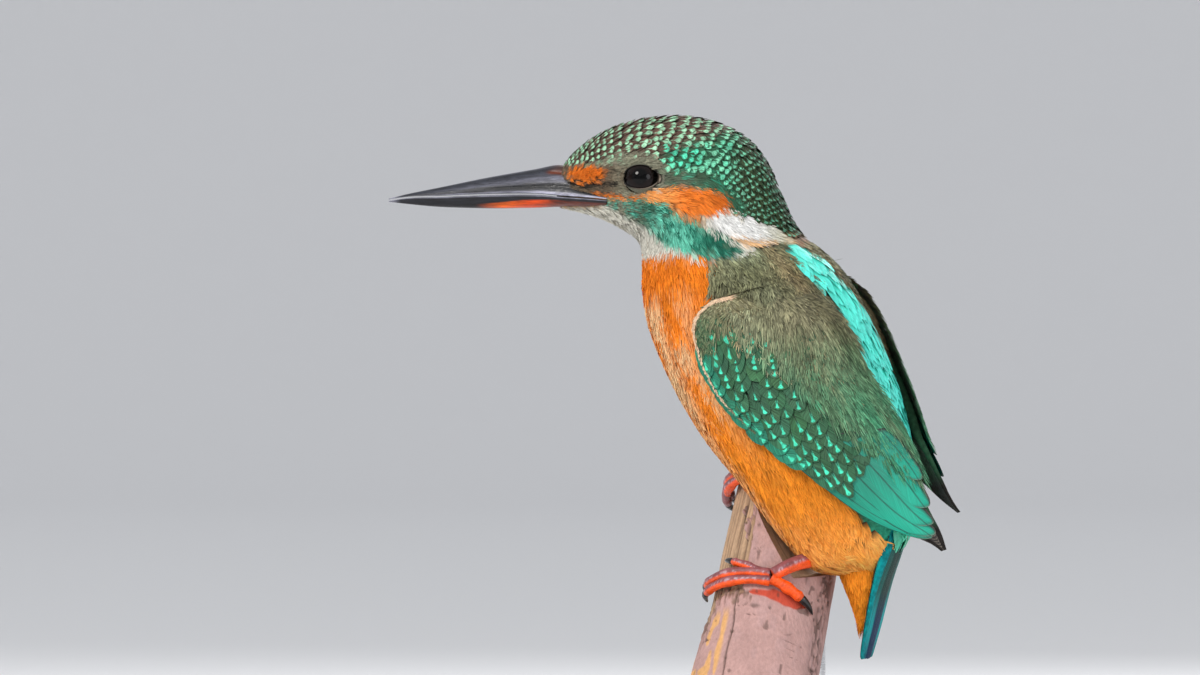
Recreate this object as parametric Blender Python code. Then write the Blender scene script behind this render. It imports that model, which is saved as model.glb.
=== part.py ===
"""Common kingfisher, life size, standing on a cut branch that a plain display stand holds up.

The bill points along -X and lies in a plane of constant Y. The trunk is turned away from that plane
at the neck. The body is one loft over ribs that fan round the throat, from the bill over the head
and down to the tail, each turned its own share of the way to the trunk's frame. Thin cuts along two
ribs part the head, neck and trunk. Sizes are in millimetres, and the meshes are in metres. The
origin is the centre of the stand's underside.
"""

import math

import bmesh
import bpy
import numpy as np
from mathutils import Vector

MM = 0.001
GAP = 0.3  # clearance between neighbouring pieces

# The driving sizes and places.
NECK = np.array([-9.0, 3.6, 121.0])  # where the head turns on the trunk, at the throat's height
TRUNK_TURN = math.radians(20)  # the breast faces this far to the bird's right of its bill
TRUNK_LEAN = math.radians(4)  # the bird's right side stands this much higher than its left
HEAD_SEAM, TRUNK_SEAM = 8.6, 10.7  # the ribs along which the head, neck and trunk are parted
SEAM = 0.16  # how much of a rib's distance each cut takes away

EYE_RADIUS = 4.1
EYE_PLACE = (-20.7, 9.1, 16.3)  # back from the throat, out from the middle, and up

BRANCH_TILT = math.radians(62)  # the branch's slope from the horizontal, rising to the bird's right
BRANCH_SWAY = 0.2  # how far it leans to +X for each unit of height
BRANCH_RADIUS = 13.5
BRANCH_LOW, BRANCH_HIGH = -27.5, 34.5  # its ends along its axis, from the left foot

BASE_RADIUS, BASE_THICK, BASE_EDGE = 46.0, 8.0, 1.2
ROD_RADIUS = 2.5
ROD_PLACES = ((-8.0, -10.0, 28.0), (8.8, 5.5, 42.0))  # each rod's x, y and highest point, front first

# The body's ribs from the bill to the tail: belly point (back, up), back point (back, up), half
# width, how much fuller than an ellipse the belly side is, and the share of the trunk's turn.
BODY_RIBS = np.array(
    [
        (-39.5, 10.0, -38.8, 18.3, 3.2, 0.0, 0.0),
        (-36.0, 9.2, -36.2, 21.7, 5.4, 0.0, 0.0),
        (-31.6, 8.1, -31.6, 25.5, 7.8, 0.1, 0.0),
        (-27.6, 6.5, -25.4, 28.5, 9.8, 0.2, 0.0),
        (-24.4, 4.7, -18.3, 30.1, 11.6, 0.3, 0.0),
        (-22.2, 3.2, -10.8, 30.4, 12.8, 0.3, 0.0),
        (-21.1, 1.8, -3.4, 28.8, 13.4, 0.2, 0.08),
        (-20.7, 0.4, 3.3, 25.2, 13.6, 0.1, 0.22),
        (-20.6, -1.2, 7.8, 19.4, 13.5, 0.0, 0.42),
        (-20.6, -3.0, 10.8, 12.4, 13.4, 0.0, 0.64),
        (-20.7, -5.4, 15.0, 4.4, 14.2, 0.0, 0.85),
        (-20.8, -8.5, 24.0, -4.0, 16.0, 0.1, 1.0),
        (-19.0, -17.0, 30.3, -14.8, 18.0, 0.2, 1.0),
        (-13.5, -29.5, 35.6, -28.4, 18.8, 0.3, 1.0),
        (-6.2, -41.0, 38.4, -39.0, 18.6, 0.5, 1.0),
        (3.0, -52.0, 39.8, -49.2, 17.2, 0.7, 1.0),
        (11.8, -63.6, 39.6, -58.8, 13.6, 1.0, 1.0),
        (18.2, -70.2, 38.4, -64.0, 10.2, 0.9, 1.0),
        (25.4, -72.0, 35.6, -68.6, 5.5, 0.5, 1.0),
    ]
)
WING_START = 9  # the body's rib that the wings' first rib goes with
# The hull on which both folded wings lie, in ribs like the body's.
WING_RIBS = np.array(
    [
        (-15.4, 7.6, 13.5, 10.2, 12.0, 0.0, 1.0),
        (-21.0, 1.4, 19.5, 3.2, 15.6, 0.0, 1.0),
        (-21.5, -8.4, 26.4, -3.6, 18.0, 0.0, 1.0),
        (-19.9, -17.0, 32.8, -13.6, 21.0, 0.0, 1.0),
        (-14.4, -29.5, 38.0, -27.2, 22.0, 0.0, 1.0),
        (-7.1, -40.7, 41.4, -37.0, 21.6, 0.0, 1.0),
        (2.4, -51.8, 44.2, -46.2, 20.2, 0.0, 1.0),
        (11.8, -63.3, 47.2, -55.2, 17.0, 0.0, 1.0),
        (26.4, -68.2, 50.0, -61.0, 13.0, 0.0, 1.0),
        (35.4, -71.4, 51.0, -65.8, 10.0, 0.0, 1.0),
    ]
)
# Rib number, and the angles from the back at which the wing's rear and front edges lie.
WING_EDGES = np.array(
    [
        (2.30, 66, 84),
        (2.45, 52, 97),
        (3.0, 37, 110),
        (4.0, 31, 112),
        (5.0, 22, 102),
        (6.0, 16, 88),
        (7.0, 15, 69),
        (8.0, 20, 53),
        (8.9, 22, 33),
    ]
)
# The bill from its tip: place, ridge, gape line, keel, half width.
BILL_SECTIONS = np.array(
    [
        (-76.9, 11.75, 11.55, 11.35, 0.3),
        (-72.2, 12.9, 12.2, 10.8, 0.9),
        (-65.3, 14.3, 12.4, 10.2, 1.6),
        (-55.1, 16.4, 12.8, 9.9, 2.6),
        (-44.9, 18.2, 12.9, 10.0, 3.6),
        (-38.4, 19.2, 12.4, 10.2, 4.9),
        (-33.0, 16.8, 12.0, 9.9, 6.9),
        (-28.4, 13.6, 11.6, 9.9, 8.3),
    ]
)
# The tail from its root: place (back, up), half thickness, half width.
TAIL_SECTIONS = np.array(
    [
        (38.0, -58.0, 1.6, 5.0),
        (36.0, -64.5, 1.9, 6.4),
        (33.0, -74.0, 1.2, 6.6),
        (30.6, -83.5, 0.8, 6.0),
        (29.2, -89.0, 0.6, 4.8),
        (28.9, -90.6, 0.5, 3.8),
    ]
)
UNDERTAIL_SECTIONS = np.array(
    [
        (28.2, -66.0, 5.8, 6.4),
        (28.8, -71.5, 5.2, 6.0),
        (29.1, -76.5, 3.8, 4.6),
        (28.8, -81.0, 2.2, 3.0),
        (28.0, -84.6, 0.8, 1.3),
    ]
)

# Colour, roughness and metallic value of each finish.
FINISHES = {
    "crown_feathers": ((0.05, 0.22, 0.14), 0.6, 0.0),
    "breast_feathers": ((0.85, 0.33, 0.05), 0.8, 0.0),
    "wing_feathers": ((0.06, 0.30, 0.20), 0.55, 0.0),
    "tail_feathers": ((0.02, 0.30, 0.42), 0.5, 0.0),
    "bill_horn": ((0.05, 0.05, 0.06), 0.35, 0.0),
    "bill_lower_horn": ((0.45, 0.13, 0.05), 0.4, 0.0),
    "eye": ((0.02, 0.012, 0.01), 0.05, 0.0),
    "foot_skin": ((0.80, 0.16, 0.04), 0.45, 0.0),
    "claw_horn": ((0.03, 0.03, 0.03), 0.35, 0.0),
    "branch_bark": ((0.55, 0.43, 0.42), 0.85, 0.0),
    "stand_wood": ((0.16, 0.10, 0.06), 0.5, 0.0),
    "stand_metal": ((0.60, 0.60, 0.60), 0.3, 1.0),
}


def clear_scene():
    for thing in list(bpy.data.objects):
        bpy.data.objects.remove(thing, do_unlink=True)


def finish(name):
    """The Principled material of that name, made once."""
    material = bpy.data.materials.get(name)
    if material:
        return material
    colour, roughness, metallic = FINISHES[name]
    material = bpy.data.materials.new(name)
    material.use_nodes = True
    shader = material.node_tree.nodes["Principled BSDF"]
    shader.inputs["Base Color"].default_value = (*colour, 1.0)
    shader.inputs["Roughness"].default_value = roughness
    shader.inputs["Metallic"].default_value = metallic
    return material


def curve_rows(rows, at):
    """The rows of a table read between its lines at the row numbers `at`, on a Catmull-Rom curve."""
    rows = np.asarray(rows, float)
    at = np.clip(np.asarray(at, float), 0, len(rows) - 1)
    low = np.minimum(at.astype(int), len(rows) - 2)
    t = (at - low)[:, None]
    padded = np.vstack([2 * rows[0] - rows[1], rows, 2 * rows[-1] - rows[-2]])
    a, b, c, d = (padded[low + step] for step in range(4))
    return 0.5 * (
        2 * b + (c - a) * t + (2 * a - 5 * b + 4 * c - d) * t**2 + (3 * b - 3 * c + d - a) * t**3
    )


def even_rows(rows, count):
    return curve_rows(rows, np.linspace(0, len(rows) - 1, count))


def rounded(value, power):
    """Sine or cosine squared off to a superellipse: 2 keeps the ellipse, and more is boxier."""
    return np.sign(value) * np.abs(value) ** (2 / power)


def trunk_frame(turn):
    """The back, right and up directions after a share of the trunk's turn and lean."""
    turn = np.asarray(turn, float)
    yaw, lean = TRUNK_TURN * turn, TRUNK_LEAN * turn
    back = np.stack([np.cos(yaw), -np.sin(yaw), 0 * yaw], axis=-1)
    right = np.stack([np.sin(yaw) * np.cos(lean), np.cos(yaw) * np.cos(lean), np.sin(lean)], axis=-1)
    return back, right, np.cross(back, right)


def to_world(back, right, up, turn=1.0):
    """Points given in the trunk's frame, from the neck."""
    back, right, up, turn = np.broadcast_arrays(back, right, up, turn)
    axes = trunk_frame(turn)
    return NECK + back[..., None] * axes[0] + right[..., None] * axes[1] + up[..., None] * axes[2]


def rib_points(rows, angle, grow=0.0):
    """Points on ribs given as belly point, back point and half width, at an angle from the back.

    A rib is an ellipse about the middle of its two points, squared off on the belly side: the cosine
    runs along the line between them and the sine sideways. `grow` widens it all round.
    """
    belly, spine, half_width = rows[..., 0:2], rows[..., 2:4], rows[..., 4]
    middle, reach = (belly + spine) / 2, (spine - belly) / 2
    length = np.linalg.norm(reach, axis=-1, keepdims=True)
    reach = reach * (1 + grow / length)
    power = 2.15 + rows[..., 5] * np.clip(-2 * np.cos(angle), 0, 1)
    along = rounded(np.cos(angle), power)
    across = rounded(np.sin(angle), power) * (half_width + grow)
    place = middle + reach * along[..., None]
    return to_world(place[..., 0], across, place[..., 1], rows[..., 6])


def body_grid(first=0.0, last=len(BODY_RIBS) - 1.0, grow=0.0, along=36, around=26):
    """The body's rings between two ribs. `grow` also pushes the two end rings outwards."""
    rows = curve_rows(BODY_RIBS, np.linspace(first, last, along))[:, None, :]
    angle = np.linspace(0, 2 * math.pi, around, endpoint=False)[None, :]
    grid = rib_points(np.repeat(rows, around, axis=1), np.repeat(angle, along, axis=0), grow)
    for end, inner in ((0, 1), (-1, -2)):
        outwards = grid[end].mean(axis=0) - grid[inner].mean(axis=0)
        grid[end] += grow * outwards / np.linalg.norm(outwards)
    return grid


def add_piece(name, shape, material, place=(0, 0, 0), smooth=True):
    """An object from a bmesh in metres, its faces turned outwards, at a place in millimetres."""
    mesh = bpy.data.meshes.new(name)
    bmesh.ops.remove_doubles(shape, verts=shape.verts, dist=1e-6)
    bmesh.ops.recalc_face_normals(shape, faces=shape.faces)
    shape.to_mesh(mesh)
    shape.free()
    if smooth:
        mesh.shade_smooth()
        mesh.set_sharp_from_angle(angle=math.radians(50))
    piece = bpy.data.objects.new(name, mesh)
    piece.location = Vector(place) * MM
    bpy.context.scene.collection.objects.link(piece)
    mesh.materials.append(finish(material))
    return piece


def solid(name, points, faces, material, smooth=True):
    """An object with that closed mesh. Points are in millimetres."""
    shape = bmesh.new()
    corners = [shape.verts.new(point) for point in np.asarray(points, float) * MM]
    for face in faces:
        shape.faces.new([corners[i] for i in face])
    return add_piece(name, shape, material, smooth=smooth)


def tube(name, grid, material):
    """A closed solid from rings of points: quads between the rings, and a fan on each end."""
    rings, around = grid.shape[:2]
    points = grid.reshape(-1, 3)
    faces = []
    for i in range(rings - 1):
        for j in range(around):
            k = (j + 1) % around
            faces.append((i * around + j, i * around + k, (i + 1) * around + k, (i + 1) * around + j))
    ends = [grid[0].mean(axis=0), grid[-1].mean(axis=0)]
    for end, ring in ((len(points), 0), (len(points) + 1, rings - 1)):
        for j in range(around):
            faces.append((end, ring * around + j, ring * around + (j + 1) % around))
    return solid(name, np.vstack([points, ends]), faces, material)


def slab(name, outer, inner, material):
    """A closed solid between two sheets of points on the same grid."""
    rows, columns = outer.shape[:2]
    points = np.vstack([outer.reshape(-1, 3), inner.reshape(-1, 3)])
    under = rows * columns
    faces = []
    for i in range(rows - 1):
        for j in range(columns - 1):
            a, b = i * columns + j, (i + 1) * columns + j
            faces.append((a, a + 1, b + 1, b))
            faces.append((under + a, under + b, under + b + 1, under + a + 1))
    rim = [j for j in range(columns)]
    rim += [i * columns + columns - 1 for i in range(1, rows)]
    rim += [(rows - 1) * columns + j for j in range(columns - 2, -1, -1)]
    rim += [i * columns for i in range(rows - 2, 0, -1)]
    for a, b in zip(rim, rim[1:] + rim[:1]):
        faces.append((a, under + a, under + b, b))
    return solid(name, points, faces, material)


def helper(piece):
    """Keeps a cutter or a joined shape out of the part."""
    piece.hide_render = True
    piece.display_type = "WIRE"
    return piece


def boolean(piece, operation, other):
    modifier = piece.modifiers.new(operation.title(), "BOOLEAN")
    modifier.operation = operation
    modifier.solver = "EXACT"
    modifier.object = other
    return piece


def ball(name, centre, radius, material):
    shape = bmesh.new()
    bmesh.ops.create_uvsphere(shape, u_segments=14, v_segments=9, radius=radius * MM)
    return add_piece(name, shape, material, centre)


def disc(name, radius, low, high, segments, material, place=(0.0, 0.0)):
    """An upright cylinder between two heights."""
    shape = bmesh.new()
    bmesh.ops.create_cone(
        shape,
        cap_ends=True,
        segments=segments,
        radius1=radius * MM,
        radius2=radius * MM,
        depth=(high - low) * MM,
    )
    return add_piece(name, shape, material, (*place, (low + high) / 2))


def eye_centre(side):
    back, out, up = EYE_PLACE
    return NECK + np.array([back, side * out, up])


def make_body():
    """The body's loft, parted along two of its ribs, with a socket for each eye."""
    last = len(BODY_RIBS) - 1
    head = tube("head", body_grid(0, HEAD_SEAM - SEAM, along=19), "crown_feathers")
    tube("neck", body_grid(HEAD_SEAM, TRUNK_SEAM - SEAM, along=5), "breast_feathers")
    tube("trunk", body_grid(TRUNK_SEAM, last, along=19), "breast_feathers")
    for side, place in ((-1, "left"), (1, "right")):
        socket = ball("socket_" + place, eye_centre(side), EYE_RADIUS + GAP, "eye")
        boolean(head, "DIFFERENCE", helper(socket))


def make_eyes():
    for side, place in ((-1, "left"), (1, "right")):
        ball("eye_" + place, eye_centre(side), EYE_RADIUS, "eye")


def make_bill():
    """Two mandibles that part on the gape line and stop at the head's feathers."""
    rows = even_rows(BILL_SECTIONS, 12)
    place, ridge, gape, keel, half_width = rows.T[:, :, None]
    arch = np.linspace(0, math.pi, 9)[None, :]
    side = half_width * rounded(np.cos(arch), 2.0)
    feathers = helper(tube("head_clearance", body_grid(0, 8, GAP, along=18), "crown_feathers"))
    for name, height, material in (
        ("bill_upper", gape + GAP / 2 + (ridge - gape) * np.sin(arch), "bill_horn"),
        ("bill_lower", gape - GAP / 2 - (gape - keel) * np.sin(arch) ** 0.8, "bill_lower_horn"),
    ):
        points = NECK + np.stack(np.broadcast_arrays(place, side, height), axis=-1)
        boolean(tube(name, points, material), "DIFFERENCE", feathers)


def wing_sheets(side, hang, spread, along=19, across=9):
    """The outer and inner sheets of a folded wing, slid down by `hang` ribs with its tip held `spread` out."""
    edges = even_rows(WING_EDGES, along)
    rib = edges[:, 0] + hang * (0.15 + 0.85 * np.clip((edges[:, 0] - 2.3) / 6.6, 0, 1))
    share = np.linspace(0, 1, across)[None, :]
    angle = np.radians(edges[:, 1:2] + (edges[:, 2:3] - edges[:, 1:2]) * share)
    rib = np.repeat(rib[:, None], across, axis=1)
    angles = side * angle
    hull = curve_rows(WING_RIBS, rib.ravel()).reshape(along, across, 7)
    body = curve_rows(BODY_RIBS, rib.ravel() + WING_START).reshape(along, across, 7)
    hull[..., 0:3:2] += spread * np.clip((rib - 5.5) / 2.5, 0, 1)[..., None]
    outer = rib_points(hull, angles)
    floor = rib_points(body, angles, grow=GAP + 0.15)
    depth = floor - outer
    reach = np.linalg.norm(depth, axis=-1, keepdims=True)
    thickest = np.interp(edges[:, 0], [2.3, 5.0, 7.0, 8.9], [4.5, 4.5, 2.0, 1.0])[:, None, None]
    inner = outer + depth * np.minimum(1.0, thickest / reach)
    return outer, inner


def make_wings():
    for side, place, hang, spread in ((-1, "left", 0.0, 0.0), (1, "right", -1.5, 4.2)):
        outer, inner = wing_sheets(side, hang, spread)
        slab("wing_" + place, outer, inner, "wing_feathers")


def plate_grid(rows, along, around=18, power=2.6, grow=0.0):
    """A flat tapering form in the trunk's frame, its thickness across its own middle line."""
    rows = even_rows(rows, along)
    back, up, thick, half_width = rows.T[:, :, None]
    run = np.gradient(rows[:, 0:2], axis=0)
    run /= np.linalg.norm(run, axis=1, keepdims=True)
    angle = np.linspace(0, 2 * math.pi, around, endpoint=False)[None, :]
    lift = (thick + grow) * rounded(np.cos(angle), power)
    side = (half_width + grow) * rounded(np.sin(angle), power)
    return to_world(back - run[:, 1:2] * lift, side, up + run[:, 0:1] * lift)


def make_tail():
    body = helper(tube("tail_root_clearance", body_grid(9, grow=GAP, along=22), "tail_feathers"))
    tail = tube("tail", plate_grid(TAIL_SECTIONS, 11), "tail_feathers")
    boolean(tail, "DIFFERENCE", body)
    coverts = tube("undertail_coverts", plate_grid(UNDERTAIL_SECTIONS, 8, power=2.1), "breast_feathers")
    boolean(coverts, "DIFFERENCE", body)
    blades = helper(tube("tail_clearance", plate_grid(TAIL_SECTIONS, 11, grow=GAP), "tail_feathers"))
    boolean(coverts, "DIFFERENCE", blades)


# The branch's own frame: its axis, the side that faces the bird's left and up, and its -X side.
AXIS = np.array([BRANCH_SWAY * math.sin(BRANCH_TILT), 0.0, math.sin(BRANCH_TILT)])
AXIS[1] = math.sqrt(1 - AXIS @ AXIS)
FACE = np.array([0.0, -1.0, 0.0]) + AXIS[1] * AXIS
FACE /= np.linalg.norm(FACE)
LEFTWARD = np.cross(FACE, AXIS)
LEFT_FOOT = NECK + np.array([9.2, -12.4, -71.5])  # where the left foot meets the branch
BRANCH_START = LEFT_FOOT - BRANCH_RADIUS * FACE


def branch_radius(angle, along):
    """The branch tapers upwards, and three slow waves keep it from being a true cylinder."""
    waves = 0.25 * np.sin(2 * angle + 0.8) + 0.2 * np.sin(3 * angle + along / 11) + 0.15 * np.sin(along / 6)
    return BRANCH_RADIUS - 0.03 * along + waves


def on_branch(angle, along, lift=0.0):
    """A point over the branch: the angle runs from its face towards -X, and `lift` is its height."""
    angle, along = np.broadcast_arrays(np.asarray(angle, float), np.asarray(along, float))
    radius = branch_radius(angle, along) + lift
    return (
        BRANCH_START
        + along[..., None] * AXIS
        + (radius * np.cos(angle))[..., None] * FACE
        + (radius * np.sin(angle))[..., None] * LEFTWARD
    )


def branch_grid(grow=0.0, rings=10, around=32):
    along = np.linspace(BRANCH_LOW - grow, BRANCH_HIGH + grow, rings)[:, None]
    angle = np.linspace(0, 2 * math.pi, around, endpoint=False)[None, :]
    return on_branch(np.repeat(angle, rings, axis=0), np.repeat(along, around, axis=1), grow)


def make_branch():
    """The branch, with the notch in its end in which the belly sits, clear of the body."""
    branch = tube("perch", branch_grid(), "branch_bark")
    notch_line = ((-14.0, -26.0), (15.8, -71.6), (60.0, -70.6), (60.0, 0.0))
    corners = [to_world(back, right, up) for right in (-60.0, 60.0) for back, up in notch_line]
    count = len(notch_line)
    faces = [tuple(range(count)), tuple(range(2 * count - 1, count - 1, -1))]
    faces += [(i, (i + 1) % count, count + (i + 1) % count, count + i) for i in range(count)]
    boolean(branch, "DIFFERENCE", helper(solid("notch", corners, faces, "branch_bark", smooth=False)))
    body = helper(tube("belly_clearance", body_grid(9, grow=2 * GAP, along=22), "branch_bark"))
    boolean(branch, "DIFFERENCE", body)


def limb(name, path, radii, material, around=8):
    """A round limb along a path, with its radius at each point of it."""
    path, radii = np.asarray(path, float), np.asarray(radii, float)
    run = np.gradient(path, axis=0)
    run /= np.linalg.norm(run, axis=1, keepdims=True)
    side = np.cross(run, FACE)
    side /= np.linalg.norm(side, axis=1, keepdims=True)
    top = np.cross(side, run)
    angle = np.linspace(0, 2 * math.pi, around, endpoint=False)
    ring = side[:, None] * np.cos(angle)[:, None] + top[:, None] * np.sin(angle)[:, None]
    return tube(name, path[:, None] + radii[:, None, None] * ring, material)


# Each toe: its angles and places along the branch at root and tip, its radius, its claw's length.
TOES = {
    "inner": ((0.20, 0.72), (0.6, 3.4), 0.95, 2.6),
    "middle": ((0.10, 1.36), (0.4, 0.2), 1.15, 3.6),
    "outer": ((0.08, 1.28), (-1.2, -2.1), 1.10, 3.2),
    "hind": ((0.06, -0.44), (-0.6, -3.2), 1.25, 3.8),
}
FEET = (("left", -1, 0.0, -1.4, (18.5, -68.0)), ("right", 1, 0.66, 25.5, (7.0, -48.0)))


def make_legs():
    """Each leg is a shank out of the belly and four toes round the branch, with a claw on each."""
    body = helper(tube("leg_root_clearance", body_grid(9, grow=GAP, along=22), "foot_skin"))
    for place, side, turn, climb, (hip_back, hip_up) in FEET:
        ankle = on_branch(turn + 0.05, climb, 2.5)
        hip = to_world(hip_back, side * 8.0, hip_up)
        share = np.linspace(0, 1, 6)[:, None]
        bow = np.sin(math.pi * share) * FACE
        shank = limb("leg_" + place, ankle + (hip - ankle) * share + bow, np.linspace(1.45, 1.75, 6), "foot_skin", 10)
        for toe, (angles, places, radius, claw) in TOES.items():
            if (toe, place) == ("hind", "right"):
                continue  # lost in the belly's feathers
            steps = np.linspace(0, 1, 9)
            angle = turn + angles[0] + (angles[1] - angles[0]) * steps
            along = climb + places[0] + (places[1] - places[0]) * steps
            knuckles = radius * (1 + 0.09 * np.cos(steps * 4 * math.pi)) * np.interp(steps, [0, 0.9, 1], [1, 1, 0.72])
            path = on_branch(angle, along, radius * 1.08 + GAP)
            boolean(shank, "UNION", helper(limb(f"toe_{toe}_{place}", path, knuckles, "foot_skin")))
            direction = 1 if angles[1] > angles[0] else -1
            reach = (claw + GAP) / BRANCH_RADIUS
            slope = (places[1] - places[0]) / (angles[1] - angles[0]) / BRANCH_RADIUS
            steps = np.linspace(0, 1, 5)
            travel = GAP / BRANCH_RADIUS + reach * steps
            rise = 0.9 * radius * (1 - steps) ** 1.5 * 1.1 + 0.35 * np.sin(math.pi * steps)
            path = on_branch(
                angle[-1] + direction * travel,
                along[-1] + direction * travel * BRANCH_RADIUS * slope,
                rise + GAP + 0.2,
            )
            limb(f"claw_{toe}_{place}", path, 0.68 * radius * (1 - steps) ** 0.7 + 0.14, "claw_horn", 6)
        boolean(shank, "DIFFERENCE", body)


def make_stand():
    """A round base with a broken edge, and two rods that stop just under the branch."""
    base = disc("stand_base", BASE_RADIUS, 0.0, BASE_THICK, 48, "stand_wood")
    edge = base.modifiers.new("Broken edge", "BEVEL")
    edge.width = BASE_EDGE * MM
    edge.segments = 1
    edge.limit_method = "ANGLE"
    clearance = helper(tube("branch_clearance", branch_grid(grow=GAP), "branch_bark"))
    for (x, y, high), place in zip(ROD_PLACES, ("front", "back")):
        rod = disc("stand_rod_" + place, ROD_RADIUS, BASE_THICK + GAP, high, 16, "stand_metal", (x, y))
        boolean(rod, "DIFFERENCE", clearance)


def main():
    clear_scene()
    make_body()
    make_eyes()
    make_bill()
    make_wings()
    make_tail()
    make_branch()
    make_legs()
    make_stand()


main()
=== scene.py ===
"""Looks of a life-size common kingfisher on a cut branch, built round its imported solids.

The body, wings and tail are lofts read at two parameters, and every feather is a small vane or tuft
carried on to one of them: its own millimetres along and across become steps of the parameters, and
its lift is the loft's growth. Sizes in the formulas are millimetres from the frame's origin, and
meshes are in metres. The bill points along -X, the bird's left is -Y, and +Z is up.
"""

import math

import bpy
import numpy as np
from bpy.props import FloatProperty, FloatVectorProperty, PointerProperty
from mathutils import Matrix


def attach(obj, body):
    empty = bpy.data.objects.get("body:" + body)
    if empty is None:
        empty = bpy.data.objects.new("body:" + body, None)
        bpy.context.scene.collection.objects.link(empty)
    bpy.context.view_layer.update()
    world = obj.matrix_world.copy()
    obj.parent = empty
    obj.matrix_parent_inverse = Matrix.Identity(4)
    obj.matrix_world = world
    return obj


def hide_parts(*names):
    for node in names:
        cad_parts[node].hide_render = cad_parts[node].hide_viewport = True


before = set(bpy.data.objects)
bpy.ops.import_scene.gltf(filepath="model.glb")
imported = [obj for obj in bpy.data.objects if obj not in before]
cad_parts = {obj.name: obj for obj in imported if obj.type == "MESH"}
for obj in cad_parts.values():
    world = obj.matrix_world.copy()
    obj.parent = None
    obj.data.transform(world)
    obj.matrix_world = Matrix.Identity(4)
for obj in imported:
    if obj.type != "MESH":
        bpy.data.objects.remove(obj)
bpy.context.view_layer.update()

bl_info = {
    "name": "Kingfisher Display Model",
    "version": (1, 0, 0),
    "blender": (4, 5, 0),
    "location": "View3D > Sidebar > Kingfisher",
    "description": "Builds the skin, feathers, bill, eyes, feet, branch and stand of a kingfisher",
    "category": "Add Mesh",
}

MM = 0.001
BODY = "root"
DEGREE = math.pi / 180

# The lofts, which repeat the named sizes of the solids.

NECK = np.array([-9.0, 3.6, 121.0])  # where the head turns on the trunk
TRUNK_TURN = math.radians(20)
TRUNK_LEAN = math.radians(4)
EYE_RADIUS = 4.1
SOCKET_DEPTH = 1.4  # how far the skin sinks round the eye
EYE_PLACE = (-20.7, 9.1, 16.3)  # back from the throat, out from the middle, and up

# Belly point (back, up), back point (back, up), half width, fullness, share of the trunk's turn.
BODY_RIBS = np.array(
    [
        (-39.5, 10.0, -38.8, 18.3, 3.2, 0.0, 0.0),
        (-36.0, 9.2, -36.2, 21.7, 5.4, 0.0, 0.0),
        (-31.6, 8.1, -31.6, 25.5, 7.8, 0.1, 0.0),
        (-27.6, 6.5, -25.4, 28.5, 9.8, 0.2, 0.0),
        (-24.4, 4.7, -18.3, 30.1, 11.6, 0.3, 0.0),
        (-22.2, 3.2, -10.8, 30.4, 12.8, 0.3, 0.0),
        (-21.1, 1.8, -3.4, 28.8, 13.4, 0.2, 0.08),
        (-20.7, 0.4, 3.3, 25.2, 13.6, 0.1, 0.22),
        (-20.6, -1.2, 7.8, 19.4, 13.5, 0.0, 0.42),
        (-20.6, -3.0, 10.8, 12.4, 13.4, 0.0, 0.64),
        (-20.7, -5.4, 15.0, 4.4, 14.2, 0.0, 0.85),
        (-20.8, -8.5, 24.0, -4.0, 16.0, 0.1, 1.0),
        (-19.0, -17.0, 30.3, -14.8, 18.0, 0.2, 1.0),
        (-13.5, -29.5, 35.6, -28.4, 18.8, 0.3, 1.0),
        (-6.2, -41.0, 38.4, -39.0, 18.6, 0.5, 1.0),
        (3.0, -52.0, 39.8, -49.2, 17.2, 0.7, 1.0),
        (11.8, -63.6, 39.6, -58.8, 13.6, 1.0, 1.0),
        (18.2, -70.2, 38.4, -64.0, 10.2, 0.9, 1.0),
        (25.4, -72.0, 35.6, -68.6, 5.5, 0.5, 1.0),
    ]
)
LAST_RIB = len(BODY_RIBS) - 1.0
RIB_POWER = 2.15  # how boxy a rib is, to which its fullness adds on the belly's side
WING_START = 9  # the body's rib that the wings' first rib goes with
WING_RIBS = np.array(
    [
        (-15.4, 7.6, 13.5, 10.2, 12.0, 0.0, 1.0),
        (-21.0, 1.4, 19.5, 3.2, 15.6, 0.0, 1.0),
        (-21.5, -8.4, 26.4, -3.6, 18.0, 0.0, 1.0),
        (-19.9, -17.0, 32.8, -13.6, 21.0, 0.0, 1.0),
        (-14.4, -29.5, 38.0, -27.2, 22.0, 0.0, 1.0),
        (-7.1, -40.7, 41.4, -37.0, 21.6, 0.0, 1.0),
        (2.4, -51.8, 44.2, -46.2, 20.2, 0.0, 1.0),
        (11.8, -63.3, 47.2, -55.2, 17.0, 0.0, 1.0),
        (26.4, -68.2, 50.0, -61.0, 13.0, 0.0, 1.0),
        (35.4, -71.4, 51.0, -65.8, 10.0, 0.0, 1.0),
    ]
)
# Rib number, and the angles from the back at which the wing's rear and front edges lie.
WING_EDGES = np.array(
    [
        (2.30, 66, 84),
        (2.45, 52, 97),
        (3.0, 37, 110),
        (4.0, 31, 112),
        (5.0, 22, 102),
        (6.0, 16, 88),
        (7.0, 15, 69),
        (8.0, 20, 53),
        (8.9, 22, 33),
    ]
)
WING_ROWS = len(WING_EDGES) - 1.0
# Where the wings' hull rises from the body: angles from the back, and the rib number there.
SHOULDER_TOP = ((22, 37, 52, 66, 84, 97, 110), (12.2, 12.0, 11.45, 11.3, 11.3, 11.45, 12.0))
SIDES = ((-1, "left"), (1, "right"))
HANG = {-1: 0.0, 1: -1.5}  # how many ribs each wing is slid down, by side
HANG_AT_BEND = 0.15  # share of the hang at the wing's upper end, from where it grows to its whole
SPREAD = {-1: 0.0, 1: 4.2}  # how far each wing's tip is held out
SPREAD_RIBS = (5.5, 8.0)  # between these ribs the wing leaves the body
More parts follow.
